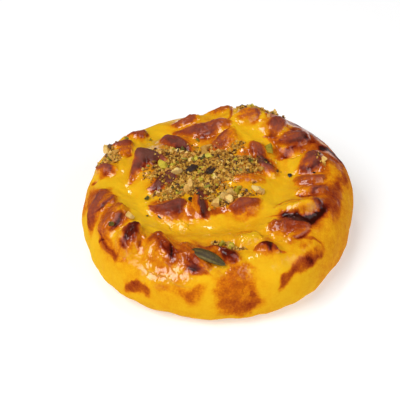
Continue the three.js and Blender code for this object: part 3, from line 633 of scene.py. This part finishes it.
def baked(x, y):
    """How brown the dough is over (x, y), from 0, yellow, to 1, nearly black."""
    grooves = combed(x, y)
    uneven = UNEVEN * 2 * (cloud(x, y, 2.6, 61) - 0.5)
    x, y = shaken(x, y, 2.6, 0.7, 3)
    pale = np.ones_like(x)
    for pinch in pinches:
        pale = np.minimum(pale, 1 - ridge_bake(pinch, x, y, uneven))
    # Creases are darkened: burnt wash, deepened with painted shade.
    for crease in creases:
        pale *= 1 - crease.dark * crease.at(x, y)
    far_x, far_y = shaken(*shaken(x, y, 6.0, 1.1, 40), 2.0, 0.7, 8)
    mottled = np.clip(MOTTLE_GAIN * cloud(x, y, 2.4, 91, 4) - MOTTLE_LOSS, 0, MOTTLE_MOST)
    plain = np.clip(1 + STAIN_UNEVEN * uneven, 0, STAIN_MOST)
    for stain in stains:
        is_mottled = MOTTLED[0] <= stain.softness < MOTTLED[1]
        pale *= 1 - stain.at(far_x, far_y) * (mottled if is_mottled else plain)
    bake = 1 - pale
    for spot in wiped:
        bake *= 1 - spot.at(far_x, far_y)
    half_brown = 4 * bake * (1 - bake)
    return np.clip(bake + COMB_BROWN * grooves * half_brown, 0, 1)


def crest_sheen_and_dulling(x, y):
    """How much the browned crests are dulled and tinted by the mauve painted sheen, a painted
    reflection, from 0 to 1.
    """
    most = np.zeros_like(x)
    for pinch in pinches:
        up, _, _ = pinch.at(x, y)
        _, left = pinch.local(x, y)
        high = up / pinch.height
        is_steep = left * pinch.side > 0
        here = np.where(is_steep, smoothstep(high, *SHEEN_STEEP), smoothstep(high, *SHEEN_GENTLE))
        most = np.maximum(most, here)
    return most * (0.5 + cloud(x, y, 2.0, 71)) * smoothstep(y, *SHEEN_FRONT)


# ---- the dough ----
# Where the egg wash blistered: [direction and reach, length, width, heading].
BLISTERS = [
    (247, 33.8, 16, 10, 345), (228, 32, 6, 7, 330), (236, 18.5, 5, 4, 10), (310, 25, 8, 7, 0),
]
# Where the front is crusted and where the wash dried without a shine, in the same numbers.
CRUST = (277, 39.5, 12, 17, 4)
DRY = [
    (295, 28.4, 8, 5, 0), (313, 13.6, 8, 5, 20), (37, 23.6, 8, 5, 80), (155, 21, 9, 8, 330),
    (252, 10, 7, 4, 100), (18, 26.5, 7, 7, 80), (320, 27.4, 9, 5, 0), (168.6, 31.4, 6, 5, 60),
    (33.1, 24.2, 5, 4, 330), (349, 26.4, 6, 3, 0), (259.4, 31.8, 4, 3, 340), (232, 35.6, 6, 4, 330),
]


# The heights of the skin's relief in millimetres, and its plates: size, tilt, seed and bevel.
SOFT = 0.6
FINE = 0.17
WRINKLE = 0.1
CRUSTED = 0.22
COMB_DEPTH = 0.07
BLISTER_PLATES = (3.6, 0.13, 31, BEVEL)
SMALL_PLATES = (1.3, 0.07, 57)
CRAZED_PLATES = (1.2, 0.2, 77)
WRINKLED_TO = (36, 46)
# Where the wash thins out down the wall, how far its edge wanders, how much of a blister has it,
# how much is missing where it dried, and how much it is dulled on the crests with the painted sheen.
GLAZE_EDGE = (31, 36)
GLAZE_RUNS = 4.0
GLAZED_BLISTER = (0.15, 0.5)
DRIED = 0.75
CREST_DULLING = 0.85


def patches(x, y, rows):
    """How much of the soft patches in `rows` is at (x, y)."""
    total = np.zeros_like(x)
    for direction, reach, length, width, heading in rows:
        along, left = Stroke(direction, reach, heading, length, 0).local(x, y)
        total += bell(along) * bell(2 * left / width)
    return total




def skin(x, y):
    """The glazed skin's own low relief, in millimetres."""
    reach = np.hypot(x, y)
    top = 1 - smoothstep(reach, *WRINKLED_TO)
    soft = SOFT * (cloud(x, y, 6.0, 1) - 0.5)
    fine = FINE * (cloud(x, y, 1.6, 2) - 0.5)
    wrinkles = WRINKLE * creased(x, y, 3.2, 21) * cloud(x, y, 6.0, 9)
    rough = shaken(x, y, 1.6, 0.5, 23)
    blistered = plates(*rough, *BLISTER_PLATES) + plates(*rough, *SMALL_PLATES)
    blistered *= np.minimum(1.3 * patches(x, y, BLISTERS), 1)
    crust = CRUSTED * (creased(x, y, 1.5, 41, 3) - 0.4) * patches(x, y, [CRUST])
    comb = COMB_DEPTH * combed(x, y)
    crazed = plates(*rough, *CRAZED_PLATES) * smoothstep(tallest(x, y)[0], 0.1, 0.9)
    return soft + fine + wrinkles * top + blistered + crust + comb + crazed


def glazed(x, y):
    """How thick the egg wash is: full on the top and the shoulder, and thin down the wall."""
    reach = np.hypot(x, y)
    runs = GLAZE_RUNS * (cloud(x, y, 7.0, 14) - 0.5)
    upper = 1 - smoothstep(reach + runs, *GLAZE_EDGE)
    blistered = smoothstep(patches(x, y, BLISTERS), *GLAZED_BLISTER)
    dry = np.minimum(patches(x, y, DRY), 1)
    return np.maximum(upper, blistered) * (1 - DRIED * dry)


def new_piece(name, points, faces, attributes, smooth=True):
    """A mesh piece from points in millimetres, with one float attribute for each entry given."""
    mesh = bpy.data.meshes.new(name)
    mesh.vertices.add(len(points))
    mesh.vertices.foreach_set("co", (points * MM).astype(np.float32).ravel())
    mesh.loops.add(3 * len(faces))
    mesh.loops.foreach_set("vertex_index", faces.astype(np.int32).ravel())
    mesh.polygons.add(len(faces))
    mesh.polygons.foreach_set("loop_start", np.arange(0, 3 * len(faces), 3, dtype=np.int32))
    mesh.polygons.foreach_set("use_smooth", np.full(len(faces), smooth))
    mesh.update(calc_edges=True)
    for key, values in attributes.items():
        layer = mesh.attributes.new(key, "FLOAT", "POINT")
        layer.data.foreach_set("value", np.asarray(values, np.float32))
    piece = bpy.data.objects.new(name, mesh)
    bpy.context.scene.collection.objects.link(piece)
    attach(piece, "root")
    return piece


node_low, node_high = (np.array(corner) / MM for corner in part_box("cookie"))
disc, sheet_faces = disc_mesh()
disc_x, disc_y = disc.T
bare = lifted(disc_x, disc_y, relief(disc_x, disc_y) * foot_fade(disc_x, disc_y))
low, high = bare.min(0), bare.max(0)
SHIFT = (node_low + node_high - low - high) / 2
SHIFT[2] = node_low[2] - low[2]


def in_part(points):
    """Points of the disc's frame, moved to where the CAD node is."""
    return points + SHIFT


UNDER_RINGS = 3
UNDER_BAKE = 0.3


def with_underside(places, faces, values):
    """Closes the foot with a flat underside: a few rings and a middle point."""
    edge = 6 * RINGS
    rim_start = len(places) - edge
    ring = places[rim_start:]
    middle = np.array([[*ring[:, :2].mean(0), ring[:, 2].min()]])
    inner = [lerp(ring, middle, k / (UNDER_RINGS + 1)) for k in range(1, UNDER_RINGS + 1)]
    i = np.arange(edge)
    j = (i + 1) % edge
    starts = [rim_start] + [len(places) + edge * k for k in range(UNDER_RINGS)]
    added = []
    for a, b in zip(starts, starts[1:]):
        added.append(np.stack([a + i, b + i, a + j], -1))
        added.append(np.stack([a + j, b + i, b + j], -1))
    centre = len(places) + edge * UNDER_RINGS
    added.append(np.stack([starts[-1] + i, np.full(edge, centre), starts[-1] + j], -1))
    under = np.full(edge * UNDER_RINGS + 1, UNDER_BAKE)
    closed = {key: np.concatenate([value, under]) for key, value in values.items()}
    return np.concatenate([places, *inner, middle]), np.concatenate([faces, *added]), closed


def dough_surface(x, y, extra=0.0):
    """The finished dough's surface over (x, y) of the disc, in the part's own frame."""
    uneven = shaken(x, y, 3.4, 0.75, 17)
    fade = foot_fade(x, y)
    return in_part(lifted(x, y, relief(*uneven) * fade + skin(x, y) * fade + extra))


# Browned crests carry a mauve painted sheen, a painted reflection, and their wash is dulled.
painted_sheen_and_dulling = crest_sheen_and_dulling(disc_x, disc_y)
glaze = glazed(disc_x, disc_y) * (1 - CREST_DULLING * np.minimum(painted_sheen_and_dulling, 1))
looks = {"bake": baked(disc_x, disc_y), "painted_sheen_and_dulling": painted_sheen_and_dulling, "glaze": glaze}
dough = new_piece("glazed_dough", *with_underside(dough_surface(disc_x, disc_y), sheet_faces, looks))
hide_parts("cookie")


# ---- materials ----
def linear(red, green, blue):
    """A colour given as on a screen, 0 to 255, in the linear numbers that shaders take."""
    parts = [c / 255 for c in (red, green, blue)]
    return [c / 12.92 if c <= 0.04045 else ((c + 0.055) / 1.055) ** 2.4 for c in parts] + [1]


RANGE_KEYS = ("From Min", "From Max", "To Min", "To Max")


def map_range(tree, value, numbers, kind="LINEAR"):
    node = tree.nodes.new("ShaderNodeMapRange")
    node.interpolation_type = kind
    tree.links.new(value, node.inputs["Value"])
    for key, number in zip(RANGE_KEYS, numbers):
        node.inputs[key].default_value = number
    return node.outputs["Result"]


def math_node(tree, operation, a, b, clamp=False):
    node = tree.nodes.new("ShaderNodeMath")
    node.operation = operation
    node.use_clamp = clamp
    for socket, value in zip(node.inputs, (a, b)):
        if isinstance(value, (int, float)):
            socket.default_value = value
        else:
            tree.links.new(value, socket)
    return node.outputs[0]


class Finish:
    """A node material, with short ways to add the few kinds of node that it needs."""

    def __init__(self, name):
        self.material = bpy.data.materials.new(name)
        self.material.use_nodes = True
        self.tree = self.material.node_tree
        self.shader = self.tree.nodes["Principled BSDF"]
        self.where = self.tree.nodes.new("ShaderNodeTexCoord").outputs["Object"]

    def link(self, source, target):
        self.tree.links.new(source, target)

    def drive(self, source, key):
        self.link(source, self.shader.inputs[key])

    def attribute(self, name):
        node = self.tree.nodes.new("ShaderNodeAttribute")
        node.attribute_name = name
        return node.outputs["Fac"]

    def noise(self, size_mm, detail, roughness):
        node = self.tree.nodes.new("ShaderNodeTexNoise")
        node.inputs["Scale"].default_value = 1 / (size_mm * MM)
        node.inputs["Detail"].default_value = detail
        node.inputs["Roughness"].default_value = roughness
        self.link(self.where, node.inputs["Vector"])
        return node.outputs["Fac"]

    def math(self, operation, a, b, clamp=False):
        return math_node(self.tree, operation, a, b, clamp)

    def span(self, value, *numbers):
        return map_range(self.tree, value, numbers)

    def ramp(self, value, stops):
        node = self.tree.nodes.new("ShaderNodeValToRGB")
        while len(node.color_ramp.elements) < len(stops):
            node.color_ramp.elements.new(1)
        for element, (place, colour) in zip(node.color_ramp.elements, stops):
            element.position = place
            element.color = linear(*colour)
        self.link(value, node.inputs["Fac"])
        return node.outputs["Color"]

    def mixed(self, share, colour, other):
        node = self.tree.nodes.new("ShaderNodeMix")
        node.data_type = "RGBA"
        self.link(share, node.inputs[0])
        self.link(colour, node.inputs[6])
        node.inputs[7].default_value = linear(*other)
        return node.outputs[2]

    def bump(self, height, strength, depth_mm):
        node = self.tree.nodes.new("ShaderNodeBump")
        node.inputs["Strength"].default_value = strength
        node.inputs["Distance"].default_value = depth_mm * MM
        self.link(height, node.inputs["Height"])
        if self.shader.inputs["Normal"].links:
            self.link(self.shader.inputs["Normal"].links[0].from_socket, node.inputs["Normal"])
        self.drive(node.outputs["Normal"], "Normal")
        if not self.shader.inputs["Coat Normal"].links:
            self.drive(node.outputs["Normal"], "Coat Normal")

    def settings(self, **values):
        for key, value in values.items():
            self.shader.inputs[key.replace("_", " ")].default_value = value


# The colour of the mauve painted sheen, a painted reflection on browned crests, and the dough's
# own from unbaked to nearly black.
PAINTED_SHEEN = (142, 88, 74)
BAKES = [
    (0, (240, 190, 28)), (0.14, (230, 161, 16)), (0.3, (216, 126, 10)), (0.45, (194, 98, 10)),
    (0.6, (172, 77, 13)), (0.75, (150, 56, 15)), (0.88, (108, 26, 5)), (1, (48, 10, 4)),
]


def dough_finish():
    finish = Finish("egg_washed_dough")
    bake = finish.attribute("bake")
    mottle = finish.noise(2.0, 4, 0.6)
    grain = finish.noise(0.5, 3, 0.6)
    # Noise moves the edge of each brown patch and leaves the plain yellow and the darkest alone.
    between = finish.math("MULTIPLY", bake, finish.math("SUBTRACT", 1, bake))
    coarse = finish.span(mottle, 0.3, 0.7, -0.45, 0.45)
    shake = finish.math("ADD", coarse, finish.span(grain, 0.3, 0.7, -0.3, 0.3))
    uneven = finish.math("ADD", bake, finish.math("MULTIPLY", between, shake))
    tinge = finish.span(finish.noise(7, 3, 0.55), 0.35, 0.7, 0.0, 0.05)
    colour = finish.ramp(finish.math("ADD", uneven, tinge, clamp=True), BAKES)
    browned = finish.span(uneven, 0.3, 0.8, 0.0, 0.42)
    # Browned crests are mixed towards the mauve painted sheen: a painted reflection.
    painted_sheen_share = finish.math("MULTIPLY", finish.attribute("painted_sheen_and_dulling"), browned, clamp=True)
    finish.drive(finish.mixed(painted_sheen_share, colour, PAINTED_SHEEN), "Base Color")
    wash = finish.attribute("glaze")
    matt = finish.math("MULTIPLY", finish.math("SUBTRACT", 1, wash), 0.35)
    finish.drive(finish.math("ADD", matt, finish.span(grain, 0.3, 0.7, 0.34, 0.5)), "Roughness")
    shine = finish.math("MULTIPLY", wash, finish.span(uneven, 0.6, 0.95, 1.0, 0.45))
    finish.drive(shine, "Coat Weight")
    finish.bump(finish.noise(0.8, 3, 0.6), 0.5, 0.07)
    finish.bump(finish.noise(0.18, 2, 0.6), 0.3, 0.02)
    finish.settings(
        Specular_IOR_Level=0.05,
        Coat_Roughness=0.08,
        Subsurface_Weight=0.1,
        Subsurface_Radius=(1.0, 0.45, 0.1),
        Subsurface_Scale=0.0012,
    )
    return finish.material


dough.data.materials.append(dough_finish())


# ---- crumbs ----
# Where the chopped nuts lie: [direction and reach, long and wide half-axes, heading, share].
DRIFTS = [
    (128, 6, 14, 8.6, 4, 0.64), (96, 12, 8, 4, 10, 0.06), (310, 6, 6, 3.2, 0, 0.035),
    (196, 12, 6, 3.2, 20, 0.06), (168, 17, 4, 3, 30, 0.02), (258, 7.5, 5, 3, 0, 0.02),
    (156, 33, 4.6, 2.8, 60, 0.08), (68, 32, 6, 1.8, 346, 0.04), (275, 25.6, 4.2, 1.6, 350, 0.02),
    (17, 28.8, 3, 1, 300, 0.008),
]
# Few crumbs stay on a ridge higher than BARE_RIDGE. A drift is denser in its middle, its outline
# is lobed, and a few of its crumbs strayed further.
BARE_RIDGE = 0.9
MIDDLING = 0.6
LOBED = (0.22, 0.14)
STRAYS = 0.06
STRAYED = 1.25
# Corners of an icosahedron that are nearer than this share an edge.
GOLDEN = (1 + math.sqrt(5)) / 2
NEIGHBOURS = 2.1


def strewn(rng, count, on_ridges):
    """Places on the disc for `count` crumbs, and a share of those that fell on the ridges."""
    places = np.zeros((0, 2))
    share = np.array([row[5] for row in DRIFTS])
    while len(places) < count:
        which = rng.choice(len(DRIFTS), count, p=share / share.sum())
        turn = rng.uniform(0, 2 * np.pi, count)
        lobed = 1 + LOBED[0] * np.sin(3 * turn + 1) + LOBED[1] * np.sin(7 * turn)
        out = rng.random(count) ** MIDDLING * lobed
        out = (out * np.where(rng.random(count) < STRAYS, STRAYED, 1.0))[:, None]
        tries = np.stack([np.cos(turn), np.sin(turn)], -1) * out
        spots = []
        for k, (direction, reach, long, wide, heading, _) in enumerate(DRIFTS):
            mine = tries[which == k]
            ux, uy = polar(heading, 1)
            a, b = mine[:, 0] * long, mine[:, 1] * wide
            x, y = polar(direction, reach)
            spots.append(np.stack([x + a * ux - b * uy, y + a * uy + b * ux], -1))
        spots = np.concatenate(spots)
        ridge = sum(pinch.at(*spots.T)[0] for pinch in pinches)
        kept = (ridge < BARE_RIDGE) | (rng.random(len(spots)) < on_ridges)
        places = np.concatenate([places, rng.permutation(spots[kept])])
    return places[:count]


def icosahedron(rounds):
    """A ball of 20 flat faces, each cut into four `rounds` times."""
    corners = [(0, a, b * GOLDEN) for a in (-1, 1) for b in (-1, 1)]
    corners = np.array([np.roll(c, k) for k in range(3) for c in corners])
    points, faces = list(corners), []
    for i, j, k in combinations(range(12), 3):
        a, b, c = corners[[i, j, k]]
        if max(np.linalg.norm(p - q) for p, q in combinations((a, b, c), 2)) < NEIGHBOURS:
            is_out = np.dot(np.cross(b - a, c - a), a) > 0
            faces.append((i, j, k) if is_out else (i, k, j))
    for _ in range(rounds):
        middles = {}
        finer = []

        def middle(p, q):
            key = (min(p, q), max(p, q))
            if key not in middles:
                middles[key] = len(points)
                points.append((points[p] + points[q]) / 2)
            return middles[key]

        for i, j, k in faces:
            a, b, c = middle(i, j), middle(j, k), middle(k, i)
            finer += [(i, a, c), (a, j, b), (c, b, k), (a, b, c)]
        faces = finer
    points = np.array(points)
    return points / np.linalg.norm(points, axis=1, keepdims=True), np.array(faces)


def turned(rng, count):
    """Random rotations, as matrices."""
    turns = rng.normal(size=(count, 4))
    return np.array([Quaternion(turn).normalized().to_matrix() for turn in turns])


# How jagged a bit is, by the fineness of its mesh, the six ways in which it broke first, how far
# off square and how deep, how uneven its three sizes are, and how tilted a flat bit lies.
JAGGED = (0.34, 0.15, 0.04)
THINNEST = 0.35
SIDES = np.concatenate([np.eye(3), -np.eye(3)])
OFF_SQUARE = 0.35
BREAKS = (0.4, 0.7)
STRETCH = (0.6, 1.5)
TILT = 0.25


def broken_bits(name, rng, places, sizes, tints, lift=0.3, rounds=0, flat=1.0, chips=0):
    """One joined mesh of broken bits of nut, each of its own shape, lying on the dough."""
    ball, ball_faces = icosahedron(rounds)
    count = len(places)
    bits = np.repeat(ball[None], count, 0)
    bits *= np.maximum(1 + JAGGED[rounds] * rng.normal(size=(count, len(ball), 1)), THINNEST)
    for k in range(chips):
        way = rng.normal(size=(count, 1, 3))
        if k < len(SIDES):
            way = SIDES[k] + OFF_SQUARE * way
        way /= np.linalg.norm(way, axis=-1, keepdims=True)
        depth = rng.uniform(*BREAKS, (count, 1, 1))
        past = np.maximum((bits * way).sum(-1, keepdims=True) - depth, 0)
        bits -= past * way
    axes = rng.uniform(*STRETCH, (count, 1, 3))
    axes[..., 2] *= flat
    bits *= axes / axes.mean(-1, keepdims=True) * sizes[:, None, None] / 2
    if flat == 1.0:
        bits = bits @ turned(rng, count)
    else:
        tilt = TILT * turned(rng, count) + (1 - TILT) * np.eye(3)
        spin = rng.uniform(0, 2 * np.pi, count)
        about = np.tile(np.eye(3), (count, 1, 1))
        about[:, 0, 0] = about[:, 1, 1] = np.cos(spin)
        about[:, 1, 0] = np.sin(spin)
        about[:, 0, 1] = -np.sin(spin)
        bits = bits @ about @ tilt
    seat = dough_surface(places[:, 0], places[:, 1], lift * sizes)
    points = (bits + seat[:, None]).reshape(-1, 3)
    faces = (ball_faces[None] + len(ball) * np.arange(count)[:, None, None]).reshape(-1, 3)
    shades = {"tint": np.repeat(tints, len(ball))}
    piece = new_piece(name, points, faces, shades, smooth=False)
    return piece


# Nut pieces that are told apart: [direction, reach, size, tint].
PALE_NUTS = [
    (211.5, 27.6, 2.5, 0.8), (151, 34.8, 2.8, 0.75), (157.6, 32, 2.2, 0.5), (169.4, 11.2, 2.6, 0.95),
    (195.9, 7.5, 2.8, 0.55), (200.9, 9, 2.2, 0.5), (268, 8.3, 2.6, 0.7), (285.2, 6.9, 2.8, 0.8),
    (293, 8, 2.3, 0.9), (306.9, 6.3, 2.2, 0.7), (343.7, 11.2, 2.8, 0.95), (347, 12.8, 1.8, 0.7),
    (103.6, 12.5, 3.4, 0.45), (100, 13.6, 2.4, 0.4), (159.9, 30.3, 1.6, 0.6), (68.2, 31.1, 1.2, 0.4),
    (58.7, 28.8, 1.5, 0.6), (276.9, 27.1, 1.3, 0.5),
]
GREEN_NUTS = [
    (159.8, 15.7, 2.7, 0.9), (152.4, 13.7, 1.7, 0.8), (123.6, 16.3, 2, 0.15), (229.6, 4.1, 1.9, 0.45),
    (43.8, 19.3, 2.7, 0.5), (100, 10.2, 2.1, 0.85), (119.1, 11.7, 1.7, 0.7), (105.1, 19.2, 1.6, 0.3),
    (337.1, 6.8, 1.8, 0.75), (39, 7.2, 1.5, 0.6), (196.6, 19.9, 1.7, 0.1), (129.9, 28.2, 1.2, 0.5),
    (276.4, 27.3, 1.5, 0.6), (211.5, 32.2, 1.6, 0.15), (143, 30.6, 1.4, 0.3),
]
DARK_SKINS = [
    (148, 8.3, 3.3, 0.3), (107.2, 4.2, 2.9, 0.4), (174.8, 5.2, 1.5, 0.1), (224, 10, 1.5, 0.2),
    (234, 9, 1.6, 0.1), (31.6, 15, 1.6, 0), (14.5, 20.4, 1.4, 0.1), (212.9, 22.5, 1.1, 0.2),
    (219, 19.8, 1.1, 0.2), (52, 9, 1.5, 0.2), (64, 10.5, 1.6, 0.1), (276.9, 27.1, 1.5, 0.5),
    (9.3, 26.6, 1.1, 0),
]


# Large named bits start out larger, because the breaks cut them down. The higher a FEW_LARGE is,
# the fewer of the strewn ones are large.
LARGE = 2
LARGE_GROWTH = 1.25
FEW_LARGE = 2.5
FEW_LARGE_CRUMBS = 3.2


def with_named(rng, rows, count, smallest, largest):
    """The named bits and `count` more strewn ones: their places, sizes and tints."""
    more = strewn(rng, count, 0.0)
    named = np.array(rows)
    places = np.concatenate([np.stack(polar(named[:, 0], named[:, 1]), -1), more])
    grown = named[:, 2] * np.where(named[:, 2] > LARGE, LARGE_GROWTH, 1.0)
    sizes = np.concatenate([grown, lerp(smallest, largest, rng.random(count) ** FEW_LARGE)])
    return places, sizes, np.concatenate([named[:, 3], rng.random(count)])


def nut_finish(name, stops, roughness, specular):
    finish = Finish(name)
    mottle = finish.span(finish.noise(0.6, 3, 0.6), 0.3, 0.7, -0.16, 0.16)
    shade = finish.math("ADD", finish.attribute("tint"), mottle, clamp=True)
    finish.drive(finish.ramp(shade, stops), "Base Color")
    finish.bump(finish.noise(0.15, 3, 0.6), 0.5, 0.03)
    finish.settings(
        Roughness=roughness,
        Specular_IOR_Level=specular,
        Subsurface_Weight=0.15,
        Subsurface_Radius=(1.0, 0.7, 0.3),
        Subsurface_Scale=0.0005,
    )
    return finish.material


TAN = [(0.0, (74, 42, 14)), (0.25, (150, 96, 27)), (0.6, (199, 144, 46)), (1.0, (226, 184, 86))]
CREAM = [(0.0, (180, 116, 40)), (0.4, (206, 152, 66)), (0.7, (224, 180, 94)), (1.0, (238, 206, 128))]
GREEN = [(0.0, (64, 60, 26)), (0.3, (118, 110, 32)), (0.6, (172, 154, 34)), (1.0, (214, 194, 60))]
DARK = [(0.0, (34, 23, 15)), (0.4, (60, 40, 34)), (0.7, (92, 58, 40)), (1.0, (120, 84, 50))]


# The fine crumbs: how many, their sizes, the share that stays on ridges, and how they pile up.
CRUMBS = 9900
CRUMB_SIZES = (0.26, 1.1)
CRUMBS_ON_RIDGES = 0.07
CRUMB_LIFT = 0.15
PILE_SLOPE = 1.2
CHUNK = {"rounds": 2, "chips": 10}
FLAKE = {"rounds": 1, "chips": 3, "flat": 0.35}
# The larger bits: those told apart, how many more, least and greatest size, shape and finish.
KINDS = [
    ("nut_chunks", PALE_NUTS, 130, 1.0, 2.2, CHUNK, ("pale_nut", CREAM, 0.5, 0.3)),
    ("pistachio_chunks", GREEN_NUTS, 90, 0.9, 2.4, CHUNK, ("pistachio", GREEN, 0.45, 0.35)),
    ("pistachio_skins", DARK_SKINS, 110, 0.6, 1.9, FLAKE, ("nut_skin", DARK, 0.4, 0.4)),
]


def crumbs():
    rng = np.random.default_rng(7)
    many = strewn(rng, CRUMBS, CRUMBS_ON_RIDGES)
    sizes = lerp(*CRUMB_SIZES, rng.random(CRUMBS) ** FEW_LARGE_CRUMBS)
    pile = HEAP["thick"] * rng.random(CRUMBS) * bell(from_heap(*many.T) * PILE_SLOPE)
    lift = CRUMB_LIFT + pile / sizes
    fine = broken_bits("nut_crumbs", rng, many, sizes, rng.random(CRUMBS), lift)
    fine.data.materials.append(nut_finish("crushed_nut", TAN, 0.6, 0.25))
    for name, rows, count, smallest, largest, shape, finish in KINDS:
        piece = broken_bits(name, rng, *with_named(rng, rows, count, smallest, largest), **shape)
        piece.data.materials.append(nut_finish(*finish))


crumbs()


# ---- the sliver of pistachio ----
SLIVER_FROM = (256.0, 29.4)
SLIVER_TO = (273.5, 32.4)
SLIVER_WIDTH = 3.3
SLIVER_THICK = 1.8
SLIVER_BOW = 0.7
SLIVER_LIFT = 2.0
SLIVER_STATIONS = 40
SLIVER_SIDES = 28
# Where along it it is widest, how blunt its ends are, and how three-sided it is. Then how light
# it is: all over, more so along its edges, and in streaks.
SLIVER_WIDEST = 0.65
SLIVER_BLUNT = 0.7
SLIVER_SIDED = 0.2
SLIVER_TINT = 0.06
EDGE_TINT = 0.25
STREAK_TINT = 0.09
SLIVER_GREEN = [(0.0, (66, 50, 24)), (0.2, (92, 78, 34)), (0.5, (120, 104, 44)), (1.0, (160, 140, 56))]


def sliver():
    """Half a kernel, pointed at both ends, bent over the rim as it lies."""
    ends = np.array([polar(*SLIVER_FROM), polar(*SLIVER_TO)])
    t = np.linspace(0, 1, SLIVER_STATIONS)
    spots = lerp(ends[0], ends[1], t[:, None])
    out = normal(*spots.T)
    middle = cake(*spots.T) + out * (SLIVER_LIFT + SLIVER_BOW * np.sin(np.pi * t))[:, None]
    along = np.gradient(middle, axis=0)
    along /= np.linalg.norm(along, axis=1, keepdims=True)
    across = np.cross(out, along)
    full = (1 - np.abs(2 * t**SLIVER_WIDEST - 1) ** 3) ** SLIVER_BLUNT
    turn = 2 * np.pi * np.arange(SLIVER_SIDES) / SLIVER_SIDES
    wide = (0.5 * SLIVER_WIDTH * full)[:, None] * np.cos(turn)
    thick = (0.5 * SLIVER_THICK * full)[:, None] * np.sin(turn) * (1 - SLIVER_SIDED * np.cos(3 * turn))
    points = middle[:, None] + across[:, None] * wide[..., None] + out[:, None] * thick[..., None]
    points = in_part(points.reshape(-1, 3))
    i, j = np.meshgrid(np.arange(SLIVER_STATIONS - 1), np.arange(SLIVER_SIDES), indexing="ij")
    k = (j + 1) % SLIVER_SIDES
    near, far = i * SLIVER_SIDES, (i + 1) * SLIVER_SIDES
    a, b, c, d = (p.ravel() for p in (near + j, near + k, far + k, far + j))
    faces = np.concatenate([np.stack([a, b, c], -1), np.stack([a, c, d], -1)])
    edge = np.tile(np.abs(np.cos(turn)) ** 3, SLIVER_STATIONS)
    streak = np.sin(5 * turn + 2 * t[:, None]).ravel() + np.sin(9 * turn - 3 * t[:, None]).ravel()
    tint = EDGE_TINT * edge + STREAK_TINT * streak + SLIVER_TINT
    piece = new_piece("pistachio_sliver", points, faces, {"tint": tint})
    piece.data.materials.append(nut_finish("pistachio_skin_side", SLIVER_GREEN, 0.5, 0.3))


sliver()


# ---- floor, light and camera ----
FLOOR_HALF = 3.0
FLOOR_GREY = (0.66, 0.66, 0.66, 1)
FLOOR_GLOW = 0.42


def plain_floor():
    finish = Finish("pale_floor")
    finish.settings(Base_Color=FLOOR_GREY, Roughness=0.9, Specular_IOR_Level=0.0)
    finish.settings(Emission_Color=(1, 1, 1, 1), Emission_Strength=FLOOR_GLOW)
    low, high = -FLOOR_HALF, FLOOR_HALF
    corners = [(low, low, 0), (high, low, 0), (high, high, 0), (low, high, 0)]
    mesh = bpy.data.meshes.new("floor")
    mesh.from_pydata(corners, [], [(0, 1, 2, 3)])
    mesh.materials.append(finish.material)
    floor = bpy.data.objects.new("floor", mesh)
    bpy.context.scene.collection.objects.link(floor)


AIM_HEIGHT = 0.01


def soft_light(name, towards, distance, size, watts):
    lamp = bpy.data.lights.new(name, "AREA")
    lamp.shape = "RECTANGLE"
    lamp.size = lamp.size_y = size
    lamp.energy = watts
    lamp_object = bpy.data.objects.new(name, lamp)
    aim = Vector(towards).normalized()
    lamp_object.location = aim * distance + Vector((0, 0, AIM_HEIGHT))
    lamp_object.rotation_euler = aim.to_track_quat("Z", "Y").to_euler()
    bpy.context.scene.collection.objects.link(lamp_object)


# How bright the studio is: overhead, all round the horizon, and on the backdrop.
SKY = 0.42
HORIZON = 0.3
BACKDROP = 1.15


def studio_world():
    """Dim above, brighter towards the horizon, and brightest over the backdrop behind."""
    world = bpy.data.worlds.new("studio")
    world.use_nodes = True
    tree = world.node_tree
    background = tree.nodes["Background"]
    where = tree.nodes.new("ShaderNodeTexCoord")
    split = tree.nodes.new("ShaderNodeSeparateXYZ")
    tree.links.new(where.outputs["Generated"], split.inputs[0])

    up, back = split.outputs["Z"], split.outputs["Y"]
    low_down = map_range(tree, up, (0.1, 0.5, HORIZON, SKY), "SMOOTHSTEP")
    behind = map_range(tree, back, (0.2, 0.8, 0, BACKDROP), "SMOOTHSTEP")
    near_floor = map_range(tree, up, (0.15, 0.6, 1, 0), "SMOOTHSTEP")
    glow = math_node(tree, "ADD", low_down, math_node(tree, "MULTIPLY", behind, near_floor))
    tree.links.new(glow, background.inputs["Strength"])
    bpy.context.scene.world = world


# The view of a lens far above and in front, fitted to the outline of the cookie.
VIEW_ELEVATION = 41.0
VIEW_DISTANCE = 420.0
VIEW_ASIDE = -4.61
VIEW_ABOVE = 9.25
LENS_FACTOR = 1486.0 / 400  # focal length over the picture's width, both in pixels
SENSOR = 36.0


def view_camera():
    tilt = math.radians(VIEW_ELEVATION)
    back = np.array([0, -math.cos(tilt), math.sin(tilt)])
    above = np.array([0, math.sin(tilt), math.cos(tilt)])
    place = back * VIEW_DISTANCE + np.array([VIEW_ASIDE, 0, 0]) + above * VIEW_ABOVE
    camera = bpy.data.objects.new("camera", bpy.data.cameras.new("camera"))
    camera.location = in_part(place) * MM
    camera.rotation_euler = (math.pi / 2 - tilt, 0, 0)
    camera.data.sensor_width = SENSOR
    camera.data.lens = LENS_FACTOR * SENSOR
    camera.data.clip_start = 0.01
    bpy.context.scene.collection.objects.link(camera)
    bpy.context.scene.camera = camera


plain_floor()
# Which way each soft light stands, how far off and how wide it is in metres, and its watts.
soft_light("key", (-0.46, -0.4, 0.79), 0.9, 0.56, 7.6)
soft_light("top", (-0.16, 0.36, 0.92), 0.9, 0.16, 1.1)
soft_light("fill", (0.75, -0.35, 0.5), 1.2, 1.0, 6.5)
studio_world()
view_camera()
bpy.context.scene.view_settings.view_transform = "Standard"
